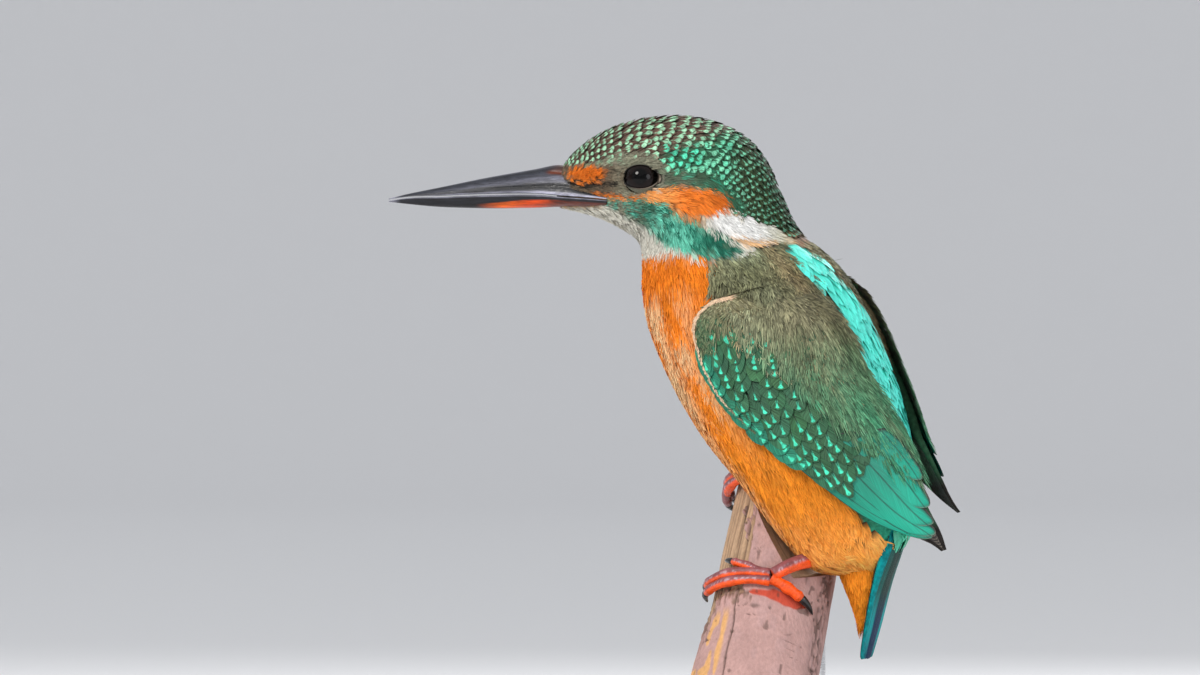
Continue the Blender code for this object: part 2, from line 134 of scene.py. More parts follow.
# The bill from its tip: place, ridge, gape line, keel, half width.
BILL_SECTIONS = np.array(
    [
        (-76.9, 11.75, 11.55, 11.35, 0.3),
        (-72.2, 12.9, 12.2, 10.8, 0.9),
        (-65.3, 14.3, 12.4, 10.2, 1.6),
        (-55.1, 16.4, 12.8, 9.9, 2.6),
        (-44.9, 18.2, 12.9, 10.0, 3.6),
        (-38.4, 19.2, 12.4, 10.2, 4.9),
        (-33.0, 16.8, 12.0, 9.9, 6.9),
        (-28.4, 13.6, 11.6, 9.9, 8.3),
    ]
)
# Place (back, up), half thickness, half width, from the root.
TAIL_SECTIONS = np.array(
    [
        (38.0, -58.0, 1.6, 5.0),
        (36.0, -64.5, 1.9, 6.4),
        (33.0, -74.0, 1.2, 6.6),
        (30.6, -83.5, 0.8, 6.0),
        (29.2, -89.0, 0.6, 4.8),
        (28.9, -90.6, 0.5, 3.8),
    ]
)
UNDERTAIL_SECTIONS = np.array(
    [
        (28.2, -66.0, 5.8, 6.4),
        (28.8, -71.5, 5.2, 6.0),
        (29.1, -76.5, 3.8, 4.6),
        (28.8, -81.0, 2.2, 3.0),
        (28.0, -84.6, 0.8, 1.3),
    ]
)
TAIL_POWER, UNDERTAIL_POWER = 2.6, 2.1  # how boxy the cross-sections of these two forms are
BRANCH_TILT = math.radians(62)
BRANCH_SWAY = 0.2
BRANCH_RADIUS = 13.5
BRANCH_LOW, BRANCH_HIGH = -27.5, 34.5
NOTCH = ((-14.0, -26.0), (15.8, -71.6), (60.0, -70.6))  # the cut in the branch's end, in the trunk's frame
BASE_RADIUS, BASE_THICK = 46.0, 8.0
ROD_RADIUS = 2.5
ROD_PLACES = ((-8.0, -10.0, 28.0), (8.8, 5.5, 42.0))
CROWN_FEATHER = 4.4  # the length that the crown's spacing goes with


def curve_rows(rows, at):
    """A table read between its lines on a Catmull-Rom curve, and past its ends straight on."""
    at = np.asarray(at, float)
    last = len(rows) - 1
    held = np.clip(at, 0, last)
    low = np.minimum(held.astype(int), last - 1)
    t = (held - low)[..., None]
    padded = np.vstack([2 * rows[0] - rows[1], rows, 2 * rows[-1] - rows[-2]])
    a, b, c, d = (padded[low + step] for step in range(4))
    read = 0.5 * (2 * b + (c - a) * t + (2 * a - 5 * b + 4 * c - d) * t**2 + (3 * b - 3 * c + d - a) * t**3)
    past = (np.maximum(at - last, 0) + np.minimum(at, 0))[..., None]
    return read + past * np.where(past > 0, rows[-1] - rows[-2], rows[1] - rows[0])


def even_rows(rows, count):
    return curve_rows(rows, np.linspace(0, len(rows) - 1, count))


def rounded(value, power):
    """Sine or cosine squared off to a superellipse: 2 keeps the ellipse, and more is boxier."""
    return np.sign(value) * np.abs(value) ** (2 / power)


def smooth(value, low, high):
    """0 below low, 1 above high, and a smooth step between."""
    t = np.clip((np.asarray(value, float) - low) / (high - low), 0, 1)
    return t * t * (3 - 2 * t)


def unit(vectors):
    return vectors / np.maximum(np.linalg.norm(vectors, axis=-1, keepdims=True), 1e-12)


def dot(a, b):
    return (a * b).sum(axis=-1)


def trunk_frame(turn):
    """The back, right and up directions after a share of the trunk's turn and lean."""
    turn = np.asarray(turn, float)
    yaw, lean = TRUNK_TURN * turn, TRUNK_LEAN * turn
    back = np.stack([np.cos(yaw), -np.sin(yaw), 0 * yaw], axis=-1)
    right = np.stack([np.sin(yaw) * np.cos(lean), np.cos(yaw) * np.cos(lean), np.sin(lean)], axis=-1)
    return back, right, np.cross(back, right)


def to_world(back, right, up, turn=1.0):
    """Points given in the trunk's frame, from the neck."""
    back, right, up, turn = np.broadcast_arrays(back, right, up, turn)
    axes = trunk_frame(turn)
    return NECK + back[..., None] * axes[0] + right[..., None] * axes[1] + up[..., None] * axes[2]


def rib_points(rows, angle, grow=0.0):
    """Points on ribs at an angle from the back: the rounded cosine runs along the line from the belly
    point to the back point, and the rounded sine sideways. `grow` widens the rib all round."""
    belly, spine, half_width = rows[..., 0:2], rows[..., 2:4], rows[..., 4]
    middle, reach = (belly + spine) / 2, (spine - belly) / 2
    length = np.linalg.norm(reach, axis=-1, keepdims=True)
    reach = reach * (1 + np.asarray(grow)[..., None] / length)
    power = RIB_POWER + rows[..., 5] * np.clip(-2 * np.cos(angle), 0, 1)
    along = rounded(np.cos(angle), power)
    across = rounded(np.sin(angle), power) * (half_width + grow)
    place = middle + reach * along[..., None]
    return to_world(place[..., 0], across, place[..., 1], rows[..., 6])


def body_surface(rib, angle, lift=0.0):
    """The body at a rib number and an angle from the back, positive to the bird's right."""
    rib, angle, lift = np.broadcast_arrays(rib, angle, lift)
    return rib_points(curve_rows(BODY_RIBS, rib), angle, lift)


def wing_surface(side):
    """The outer face of a folded wing at a row of its edge table and a share from rear to front. Its ribs
    are slid down by the wing's hang, and its lower half is held out by its spread."""

    def surface(row, share, lift=0.0):
        row, share, lift = np.broadcast_arrays(row, share, lift)
        edges = curve_rows(WING_EDGES, row)
        rib = edges[..., 0]
        angle = np.radians(edges[..., 1] + (edges[..., 2] - edges[..., 1]) * share)
        slid = rib + HANG[side] * np.interp(rib, (WING_EDGES[0, 0], WING_EDGES[-1, 0]), (HANG_AT_BEND, 1))
        rows = curve_rows(WING_RIBS, slid)
        rows[..., 0:3:2] += SPREAD[side] * np.interp(slid, SPREAD_RIBS, (0, 1))[..., None]
        return rib_points(rows, side * angle, lift)

    return surface


def shoulder_surface(rib, angle, lift=0.0):
    """The body's surface that rises into the wings' hull where their upper ends begin."""
    rib, angle, lift = np.broadcast_arrays(rib, angle, lift)
    body, hull = curve_rows(BODY_RIBS, rib), curve_rows(WING_RIBS, rib - WING_START)
    turned = np.degrees(np.abs(angle))
    share = smooth(rib - np.interp(turned, *SHOULDER_TOP), -0.95, 0.05)
    share = share * smooth(turned, 22, 40) * (1 - smooth(turned, 94, 106))
    return rib_points(body + (hull - body) * share[..., None], angle, lift)


def plate_surface(sections, power):
    """A flat tapering form at a place along it, 0 to 1, and an angle round it from its back."""
    span = len(sections) - 1.0

    def surface(place, angle, lift=0.0):
        place, angle, lift = np.broadcast_arrays(place, angle, lift)
        rows, ahead = (curve_rows(sections, place * span + step) for step in (0, 0.02))
        run = unit(ahead[..., 0:2] - rows[..., 0:2])
        rise = (rows[..., 2] + lift) * rounded(np.cos(angle), power)
        side = (rows[..., 3] + lift) * rounded(np.sin(angle), power)
        return to_world(rows[..., 0] - run[..., 1] * rise, side, rows[..., 1] + run[..., 0] * rise)

    return surface


# The branch's own frame: its axis, the side that faces the bird's left and up, and its -X side.
AXIS = np.array([BRANCH_SWAY * math.sin(BRANCH_TILT), 0.0, math.sin(BRANCH_TILT)])
AXIS[1] = math.sqrt(1 - AXIS @ AXIS)
FACE = np.array([0.0, -1.0, 0.0]) + AXIS[1] * AXIS
FACE /= np.linalg.norm(FACE)
LEFTWARD = np.cross(FACE, AXIS)
LEFT_FOOT = NECK + np.array([9.2, -12.4, -71.5])
BRANCH_START = LEFT_FOOT - BRANCH_RADIUS * FACE


def branch_radius(angle, along):
    waves = 0.25 * np.sin(2 * angle + 0.8) + 0.2 * np.sin(3 * angle + along / 11) + 0.15 * np.sin(along / 6)
    return BRANCH_RADIUS - 0.03 * along + waves


def off_axis(along, radius, angle):
    """A point beside the branch's axis. The angle runs from the branch's face towards -X."""
    along, radius, angle = np.broadcast_arrays(along, radius, angle)
    return (
        BRANCH_START
        + along[..., None] * AXIS
        + (radius * np.cos(angle))[..., None] * FACE
        + (radius * np.sin(angle))[..., None] * LEFTWARD
    )


def on_branch(angle, along, lift=0.0):
    """A point at a height over the branch's surface."""
    return off_axis(along, branch_radius(np.asarray(angle, float), along) + lift, angle)


def hashed(cells, seed):
    """A number from 0 to 1 for each whole-numbered cell, scrambled by multiplying and folding."""
    mixed = cells[..., 0] * 73856093 + cells[..., 1] * 19349663 + cells[..., 2] * 83492791 + seed * 2654435761
    mixed = (mixed ^ (mixed >> 13)) * 1274126177 & 0x7FFFFFFF
    mixed = (mixed ^ (mixed >> 15)) * 668265263 & 0x7FFFFFFF
    return (mixed & 0xFFFF) / 65535.0


def grain(points, seed=0):
    """Value noise, 0 to 1: the numbers of a cell's eight corners, blended by smooth steps."""
    floor = np.floor(points)
    share = points - floor
    share = share * share * (3 - 2 * share)
    floor = floor.astype(np.int64)
    total = 0.0
    for corner in range(8):
        bits = np.array([corner & 1, corner >> 1 & 1, corner >> 2 & 1])
        weight = np.prod(np.where(bits, share, 1 - share), axis=-1)
        total = total + weight * hashed(floor + bits, seed)
    return total


def field(*coordinates):
    """Coordinates as points, along a new last axis."""
    return np.stack(np.broadcast_arrays(*coordinates), axis=-1)


def circle(count):
    """Angles once round, without the last one twice."""
    return np.linspace(0, 2 * math.pi, count, endpoint=False)


def net(first, second):
    """Two lists of numbers as the two coordinates of a grid."""
    return np.meshgrid(first, second, indexing="ij")


def curve(places, values):
    """A function that reads values between their places."""
    return lambda at: np.interp(at, places, values)


def steady(value):
    """A function that gives one value at every place."""
    return lambda at: value + 0 * at


# Sizes and colours that a user may change.


def length(name, description, size):
    return FloatProperty(
        name=name, description=description, default=size * MM, min=0.0, unit="LENGTH", subtype="DISTANCE"
    )


def colour(name, description, red, green, blue):
    """A colour given as the display values 0 to 255, kept as linear light."""
    linear = [((c / 255 + 0.055) / 1.055) ** 2.4 if c > 10 else c / 255 / 12.92 for c in (red, green, blue)]
    return FloatVectorProperty(
        name=name, description=description, default=linear, size=3, min=0.0, max=1.0, subtype="COLOR"
    )


class KF_PG_sizes(bpy.types.PropertyGroup):
    """Lengths of the model's small parts."""

    coat_depth: length("Coat depth", "How far the skin lies inside the feathers' outer surface", 0.9)
    crown_feather: length("Crown feather", "Length of a feather on top of the head", CROWN_FEATHER)
    face_feather: length("Face feather", "Length of a feather on the cheek and throat", 2.8)
    breast_feather: length("Breast feather", "Length of a feather on the breast and belly", 6.2)
    mantle_feather: length("Mantle feather", "Length of a loose feather on the shoulders", 5.2)
    covert_feather: length("Wing covert", "Length of a covert at the middle of the wing", 6.5)
    back_feather: length("Back feather", "Length of a feather of the bright back stripe", 8.0)
    eye_opening_long: length("Eye opening length", "Between the corners of the lids", 8.0)
    eye_opening_high: length("Eye opening height", "Between the upper and lower lid", 5.4)

    bark_depth: length("Bark depth", "Height of the bark over the stripped wood", 0.7)
    camera_distance: length("Camera distance", "From the bird to the camera", 3000.0)
    view_width: length("View width", "Width of what the camera sees at the bird", 266.7)


class KF_PG_colours(bpy.types.PropertyGroup):
    """Colours of plumage, horn, skin and branch."""

    crown: colour("Crown", "Red-brown ground of the crown feathers", 90, 70, 60)
    crown_side: colour("Crown, side", "Green ground behind the eye", 44, 88, 64)
    crown_nape: colour("Crown, nape", "Dark olive ground of the nape", 46, 60, 38)
    crown_spot: colour("Crown spots", "Bars across the tips of the crown feathers", 152, 204, 168)
    crown_bright: colour("Crown spots, side", "Bright bars behind the eye", 66, 205, 165)
    brow: colour("Brow", "Grey-brown feathers above the eye and behind the bill", 150, 150, 128)
    malar: colour("Malar stripe", "Stripe from the bill down the side of the throat", 26, 122, 98)
    malar_light: colour("Malar stripe, bright", "Brightest part of the malar stripe", 108, 204, 178)
    ear: colour("Ear patch", "Orange patch behind the eye", 228, 122, 36)
    white: colour("White", "Neck patch", 232, 232, 226)
    throat: colour("Throat", "Greyish white of the throat", 206, 204, 192)
    buff: colour("Buff", "Warm lower edge of the neck patch and rim of the wing", 226, 172, 104)
    lore: colour("Lore", "Brown-grey feathers before the eye", 112, 96, 78)
    dark: colour("Dark feathers", "Black feathers round the eye and at the bill", 24, 22, 20)
    breast: colour("Breast", "Orange of the breast", 228, 126, 30)
    belly: colour("Belly", "Yellower orange of the belly", 232, 140, 38)
    breast_pale: colour("Pale breast", "Whitish streaks among the orange", 226, 192, 146)
    mantle: colour("Mantle", "Olive green of the shoulders", 80, 76, 50)
    mantle_light: colour("Mantle light", "Greyish light barbs of the shoulders", 142, 138, 108)
    stripe: colour("Back stripe", "Bright stripe down the back", 84, 222, 204)
    rump: colour("Rump", "Blue-green of the rump", 56, 176, 140)
    covert: colour("Wing coverts", "Dark green ground of the wing", 50, 92, 64)
    covert_spot: colour("Covert spots", "Bright spot at the tip of a wing covert", 70, 218, 178)
    wing_bright: colour("Bright wing feathers", "Turquoise of the inner flight feathers", 24, 164, 136)
    primary: colour("Outer wing feathers", "Brown-black of the outer flight feathers", 44, 38, 35)
    primary_edge: colour("Wing feather edges", "Grey edges of the outer flight feathers", 132, 120, 106)
    tail: colour("Tail", "Blue-green of the tail feathers", 0, 160, 164)
    tail_dark: colour("Tail, dark", "Navy of the tail's shaded feathers", 14, 50, 84)
    down: colour("Down", "Grey bases of all feathers", 52, 50, 48)
    horn: colour("Bill", "Blackish horn", 40, 42, 50)
    # Also used as painted sheen along the upper bill's ridge and flank, besides the pale edges and tip.
    horn_light: colour("Bill, light", "Silvery streaks and edges of the bill", 128, 128, 142)
    horn_red: colour("Bill, red", "Orange-red patch of the lower bill", 228, 96, 6)
    claw: colour("Claws", "Blackish claws", 30, 26, 26)
    foot: colour("Feet", "Orange-red skin of the toes", 255, 88, 6)
    foot_grey: colour("Feet, grey", "Brownish skin on top of the toes", 122, 76, 84)
    eye: colour("Eye", "Dark brown iris", 30, 16, 12)
    bark: colour("Bark", "Pinkish bark", 186, 149, 143)
    bark_dark: colour("Bark, dark", "Cracks and worn places of the bark", 84, 68, 60)
    wood: colour("Stripped wood", "Wood where the bark is gone", 188, 156, 126)
    stand_wood: colour("Stand", "Dark stained wood of the stand", 70, 46, 30)


def millimetres(name):
    return getattr(bpy.context.scene.kingfisher_sizes, name) / MM


def paint(name):
    return np.array(getattr(bpy.context.scene.kingfisher_colours, name))


# Meshes.


def grid_cells(rows, columns, wrap=False):
    """Corner numbers of the quads of one grid, whose points run column by column along each row."""
    first = np.arange(rows - 1)[:, None] * columns + np.arange(columns if wrap else columns - 1)[None, :]
    beside = first + 1
    if wrap:
        beside[:, -1] -= columns
    return np.stack([first, first + columns, beside + columns, beside], axis=-1).reshape(-1, 4)


def layer(tone, weight, new):
    """A tone with another laid over it by a weight."""
    return tone + (new - tone) * np.clip(weight, 0, 1)[..., None]


def fan(hub, first, around):
    """Triangles from a hub point to a ring of points, by the number of the ring's first one."""
    ring = np.arange(around)
    return np.stack([np.full(around, hub), first + ring, first + (ring + 1) % around], axis=-1)


def capped(tones):
    """The colours of a tube shell's points: its rings' and then its two end points'."""
    flat = tones.reshape(-1, 3)
    return np.vstack([flat, flat[:1], flat[-1:]])


def outwards(points, quads, tris):
    """The closed shell with its faces turned outwards, by the sign of its volume."""
    about = points - points.mean(axis=0)
    volume = 0.0
    for corners in (quads[:, [0, 1, 2]], quads[:, [0, 2, 3]], tris):
        a, b, c = (about[corners[:, i]] for i in range(3))
        volume += dot(a, np.cross(b, c)).sum()
    turn = -1 if volume < 0 else 1
    return points, quads[:, ::turn], tris[:, ::turn]


def tube_shell(grid):
    """A closed shell from rings of points, with a fan over each end."""
    rings, around = grid.shape[:2]
    points = np.vstack([grid.reshape(-1, 3), grid[0].mean(axis=0), grid[-1].mean(axis=0)])
    near = fan(rings * around, 0, around)
    far = fan(rings * around + 1, (rings - 1) * around, around)[:, [0, 2, 1]]
    return outwards(points, grid_cells(rings, around, wrap=True), np.vstack([near, far]))


def slab_shell(outer, inner):
    """A closed shell between two sheets of points on the same grid, with a rim of quads."""
    rows, columns = outer.shape[:2]
    count = rows * columns
    points = np.vstack([outer.reshape(-1, 3), inner.reshape(-1, 3)])
    cells = grid_cells(rows, columns)
    at = np.arange(count).reshape(rows, columns)
    rim = np.concatenate([at[0, :-1], at[:-1, -1], at[-1, :0:-1], at[:0:-1, 0]])
    after = np.roll(rim, -1)
    edge = np.stack([rim, after, after + count, rim + count], axis=-1)
    return outwards(points, np.vstack([cells, cells[:, ::-1] + count, edge]), np.zeros((0, 3), int))


def join(shells):
    """Several shells as one: points, quads, triangles, and the shell number of each face."""
    points, quads, tris, numbers, start = [], [], [], [], 0
    for shell_points, shell_quads, shell_tris in shells:
        points.append(shell_points)
        quads.append(shell_quads + start)
        tris.append(shell_tris + start)
        start += len(shell_points)
    for part in (quads, tris):
        numbers += [np.full(len(cells), i) for i, cells in enumerate(part)]
    return np.vstack(points), np.vstack(quads), np.vstack(tris), np.concatenate(numbers)


def add_mesh(name, points, quads, tris=None, materials=(), colours=None, maps=None, face_material=None):
    """An object at the origin with that mesh, its points given in millimetres."""
    tris = np.zeros((0, 3), int) if tris is None else tris
    mesh = bpy.data.meshes.new(name)
    mesh.vertices.add(len(points))
    mesh.vertices.foreach_set("co", (np.asarray(points) * MM).astype(np.float32).ravel())
    corners = np.concatenate([quads.ravel(), tris.ravel()]).astype(np.int32)
    mesh.loops.add(len(corners))
    mesh.loops.foreach_set("vertex_index", corners)
    starts = np.concatenate([np.arange(len(quads)) * 4, len(quads) * 4 + np.arange(len(tris)) * 3])
    mesh.polygons.add(len(starts))
    mesh.polygons.foreach_set("loop_start", starts.astype(np.int32))
    for key, values in (maps or {}).items():
        layer = mesh.uv_layers.new(name=key)
        layer.data.foreach_set("uv", values[corners].astype(np.float32).ravel())
    for key, values in (colours or {}).items():
        attribute = mesh.attributes.new(key, "FLOAT_COLOR", "POINT")
        if values.shape[1] == 3:
            values = np.hstack([values, np.ones((len(values), 1))])
        attribute.data.foreach_set("color", values.astype(np.float32).ravel())
    if face_material is not None:
        mesh.polygons.foreach_set("material_index", face_material.astype(np.int32))
    mesh.update(calc_edges=True)
    mesh.shade_smooth()
    for material in materials:
        mesh.materials.append(material)
    piece = bpy.data.objects.new(name, mesh)
    bpy.context.scene.collection.objects.link(piece)
    return piece


def settle(piece, slot, *nodes):
    """Attaches a finished piece to the body and hides the solids that it replaces."""
    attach(piece, BODY)
    if nodes:
        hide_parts(*nodes)


# Materials.


class Finish:
    """A material being built from nodes, in a few words."""

    def __init__(self, name, roughness, **sockets):
        self.material = bpy.data.materials.new(name)
        self.material.use_nodes = True
        self.tree = self.material.node_tree
        self.shader = self.tree.nodes["Principled BSDF"]
        for socket, value in {"Roughness": roughness, **sockets}.items():
            self.shader.inputs[socket.replace("_", " ")].default_value = value

    def put(self, socket, value):
        if isinstance(value, bpy.types.NodeSocket):
            self.tree.links.new(value, socket)
        elif value is not None:
            if hasattr(value, "__len__") and len(value) == 3 and socket.type == "RGBA":
                value = (*value, 1.0)
            socket.default_value = value

    def node(self, kind, values=(), **settings):
        made = self.tree.nodes.new(kind)
        for key, value in settings.items():
            setattr(made, key, value)
        for key, value in dict(values).items():
            self.put(made.inputs[key], value)
        return made

    def math(self, operation, a, b=0.0, c=None):
        values = {0: a, 1: b} if c is None else {0: a, 1: b, 2: c}
        return self.node("ShaderNodeMath", values, operation=operation).outputs[0]

    def step(self, value, low, high, first=0.0, last=1.0):
        """A smooth step of a value from low to high."""
        values = {"Value": value, "From Min": low, "From Max": high, "To Min": first, "To Max": last}
        return self.node("ShaderNodeMapRange", values, interpolation_type="SMOOTHSTEP").outputs["Result"]

    def mix(self, factor, a, b, blend="MIX"):
        made = self.node("ShaderNodeMix", data_type="RGBA", blend_type=blend, clamp_factor=True)
        for key, value in ((0, factor), (6, a), (7, b)):
            self.put(made.inputs[key], value)
        return made.outputs[2]

    def tint(self, colour_socket, value):
        """A colour times a number."""
        grey = self.node("ShaderNodeCombineXYZ", {0: value, 1: value, 2: value}).outputs[0]
        return self.mix(1.0, colour_socket, grey, "MULTIPLY")

    def attribute(self, name):
        return self.node("ShaderNodeAttribute", attribute_name=name, attribute_type="GEOMETRY")

    def cloud(self, where, detail, roughness):
        values = {"Vector": where.outputs[0], "Scale": 1.0, "Detail": detail, "Roughness": roughness}
        return self.node("ShaderNodeTexNoise", values).outputs["Fac"]

    def noise(self, stretch, detail, roughness):
        """Noise over the object's own coordinates, stretched."""
        stretch = stretch if isinstance(stretch, tuple) else (stretch,) * 3
        place = self.node("ShaderNodeTexCoord").outputs["Object"]
        mapping = self.node("ShaderNodeMapping", {"Vector": place, "Scale": stretch})
        return self.cloud(mapping, detail, roughness)

    def bump(self, height, depth):
        """Relief of a height, as deep as that many millimetres."""
        values = {"Height": height, "Distance": depth * MM}
        self.put(self.shader.inputs["Normal"], self.node("ShaderNodeBump", values).outputs[0])

    def colour(self, value):
        self.put(self.shader.inputs["Base Color"], value)


def vane_finish(name, roughness, barbs, depth, contrast, spot=None, shaft=0.0, rim=0.0, specular=0.5):
    """Feathers: the ground attribute, streaked along barbs that leave the shaft at a slant, with the
    mark attribute's colour in a drop-shaped spot given as (half width, length up, length down, place),
    a dark shaft, and dark rims that are partly the feathers' own dark edges and partly painted shadow
    between overlapping feathers."""
    finish = Finish(name, roughness, Specular_IOR_Level=specular)
    calc, step = finish.math, finish.step
    ground, mark = finish.attribute("ground"), finish.attribute("mark")
    chart = finish.node("ShaderNodeUVMap", uv_map="vane").outputs[0]
    split = finish.node("ShaderNodeSeparateXYZ", {0: chart})
    across, along = split.outputs[0], split.outputs[1]
    side = calc("ABSOLUTE", calc("MULTIPLY_ADD", across, 2.0, -1.0))
    slant = calc("MULTIPLY_ADD", side, -0.35, along)
    seed = calc("MULTIPLY", ground.outputs["Alpha"], 97.0)
    where = finish.node("ShaderNodeCombineXYZ", {0: calc("MULTIPLY", slant, barbs), 1: across, 2: seed})
    streak = finish.cloud(where, 2.0, 0.6)
    shown = ground.outputs["Color"]
    if spot:
        half, up, down, place = spot
        rise = calc("SUBTRACT", along, place)
        behind = calc("DIVIDE", calc("MINIMUM", rise, 0.0), up)
        ahead = calc("DIVIDE", calc("MAXIMUM", rise, 0.0), down)
        wide = calc("MULTIPLY_ADD", behind, 0.55 * half, half)
        beside = calc("DIVIDE", side, calc("MAXIMUM", wide, 0.05))
        far = calc("POWER", calc("ADD", behind, ahead), 2.0)
        far = calc("SQRT", calc("ADD", far, calc("POWER", beside, 2.0)))
        far = calc("MULTIPLY_ADD", calc("SUBTRACT", streak, 0.5), 0.9, far)
        far = calc("DIVIDE", far, calc("MULTIPLY_ADD", mark.outputs["Alpha"], 0.8, 0.4))
        tail = calc("MULTIPLY", step(side, 0.16, 0.05), step(along, place - 3 * up, place - up))
        tail = calc("MULTIPLY", tail, step(rise, 0.02, 0.0, 0.0, 0.8))
        shape = calc("MAXIMUM", step(far, 1.2, 0.65), tail)
        shape = calc("MULTIPLY", shape, step(mark.outputs["Alpha"], 0.0, 0.2))
        shown = finish.mix(shape, shown, mark.outputs["Color"])
    shown = finish.tint(shown, step(streak, 0.28, 0.72, 1 - contrast, 1 + contrast))
    if shaft:
        line = calc("MULTIPLY", step(side, 0.09, 0.02), shaft)
        if spot:
            line = calc("MULTIPLY", line, step(along, place - up, place - 2 * up))
        shown = finish.mix(line, shown, paint("dark"))
    # Painted shadow: the dark rims stand partly for the shade between overlapping feathers, partly for their
    # own dark edges.
    if rim:
        line = calc("MULTIPLY", step(side, 0.84, 0.97), rim)
        shown = finish.mix(line, shown, paint("dark"))
    finish.colour(shown)
    finish.bump(streak, depth)
    return finish.material


def grained(name, roughness, grains, depth=0.0, base=None, worn=None, join="MULTIPLY", **sockets):
    """A material lit by grains, each (stretch, detail, roughness, low, high, darkest, lightest). Their
    lights are joined and multiply the base colour, or the ground attribute where none is given. The first
    one's relief is that many millimetres deep, and the last one varies the roughness if it is worn."""
    finish = Finish(name, roughness, **sockets)
    heights, light = [], None
    for stretch, detail, rough, low, high, darkest, lightest in grains:
        heights.append(finish.noise(stretch, detail, rough))
        step = finish.step(heights[-1], low, high, darkest, lightest)
        light = step if light is None else finish.math(join, light, step)
    base = finish.attribute("ground").outputs["Color"] if base is None else base
    finish.colour(finish.tint(base, light))
    if depth:
        finish.bump(heights[0], depth)
    if worn:
        finish.put(finish.shader.inputs["Roughness"], finish.step(heights[-1], 0.3, 0.7, *worn))
    return finish.material


# Markings.

# Outlines on the left side of the head and neck, as (back, up) from the neck.
MALAR_STRIPE = (
    (-30.2, 11.1), (-23.4, 11.2), (-17.9, 10.8), (-13.4, 8.4), (-10.4, 7.2), (-6.2, 5.0), (-2.9, 3.0),
    (0.4, 0.6), (0.4, -1.3), (-1.9, -1.9), (-7.1, -1.6), (-10.4, -0.3), (-13.6, 1.3), (-20.1, 5.2),
    (-28.0, 9.5), (-30.2, 10.4),
)
EAR_PATCH = (
    (-21.2, 12.6), (-19.2, 13.0), (-16.0, 13.3), (-10.4, 13.7), (-4.5, 13.2), (-2.6, 11.4), (-2.4, 10.0),
    (-3.6, 8.9), (-6.2, 8.5), (-10.4, 8.1), (-13.4, 9.1), (-17.9, 11.0), (-21.2, 11.7),
)
NECK_PATCH = (
    (-6.0, 8.2), (-4.0, 8.9), (-1.3, 8.5), (3.6, 6.2), (8.5, 4.2), (12.3, 2.2), (14.8, 0.4), (11.2, -0.6),
    (6.1, 0.1), (2.7, 0.4), (-0.6, 1.6), (-4.5, 4.9), (-6.4, 6.6),
)
LORAL_SPOT = ((-37.4, 17.2), (-35.0, 18.9), (-31.0, 19.4), (-28.2, 17.9), (-29.5, 15.9), (-34.0, 15.6))
LORAL_LINE = ((-38.0, 15.8), (-33.0, 15.4), (-26.0, 15.6), (-26.0, 14.6), (-33.0, 14.2), (-38.0, 14.8))
GAPE_LINE = ((-31.5, 13.0), (-22.0, 11.9), (-22.0, 11.0), (-31.5, 11.9))
EYE_LINE = ((-27.2, 18.4), (-24.6, 17.9), (-23.9, 17.1), (-24.4, 17.2), (-26.8, 17.8))
EYE_RING = (-20.75, 16.3, 4.55, 3.15)  # back, up, half length and half height of the bare rim

# Edges read between their places: heights by the place back, and for the mantle its place back by height.
CROWN_FLOOR = (
    (-42, -37.6, -28.2, -24, -17, -10.4, -4.5, -1.3, 3.6, 8.5, 14),
    (19, 19.2, 19.4, 20, 13.4, 13.7, 13.2, 9.4, 6.2, 4.0, 0.6),
)
BROW_TOP = ((-40, -34, -29, -25, -20, -16, -13), (17.3, 19.0, 20.4, 21.8, 21.9, 20.3, 14.0))
LORE_FLOOR = ((-42, -24, -17), (12.6, 12.2, 13.4))
CHEEK_FLOOR = ((-33, -20, -13, -8, -5), (9.8, 9.8, 7.4, 5.6, 4.6))
THROAT_FLOOR = ((-21, -13, -9.5, 0), (-0.3, 0.0, -1.7, -2.2))
NECK_PATCH_FLOOR = ((-5, -0.6, 2.7, 6.1, 11.2, 14), (5.4, 2.2, 1.2, 0.9, 0.4, 0.8))
NAPE_FLOOR = ((-8, 0, 7, 13, 20), (-2.2, -1.8, 0.4, 0.8, 1.6))
MANTLE_FRONT = (
    (-76, -70, -67, -64.7, -60, -50, -30, -10, -6, -2),
    (34, 30.8, 32.6, 32.1, 28.6, 22, 4, -5.4, -5.7, -5.9),
)


def inside(place, corners, soft=0.35):
    """1 inside an outline and 0 outside, softened: the distance to the nearest edge, with its sign
    from the number of edges that a level line from the point crosses."""
    a = np.array(corners, float)
    b = np.roll(a, -1, axis=0)
    edge = b - a
    offset = place[..., None, :] - a
    t = np.clip(dot(offset, edge) / dot(edge, edge), 0, 1)
    distance = np.linalg.norm(offset - t[..., None] * edge, axis=-1).min(axis=-1)
    x, y = place[..., None, 0], place[..., None, 1]
    spans = (a[:, 1] > y) != (b[:, 1] > y)
    reach = np.where(edge[:, 1] == 0, 1e-9, edge[:, 1])
    crossed = spans & (x < edge[:, 0] * (y - a[:, 1]) / reach + a[:, 0])
    sign = np.where(crossed.sum(axis=-1) % 2 == 1, 1, -1)
    return smooth(sign * distance, -soft, soft)


# The bright back stripe: rib numbers, and its edges on the left and the right there in degrees. It starts
# to the left because the head and neck turn away from the trunk.
STRIPE_EDGES = (
    (9.5, 10.5, 11.15, 11.95, 12.4, 13.1, 13.8, 14.6, 18),
    (-39, -36, -30, -25, -24, -24, -26, -30, -60),
    (-18, -16, -8, 6, 11, 16, 20, 28, 60),
)


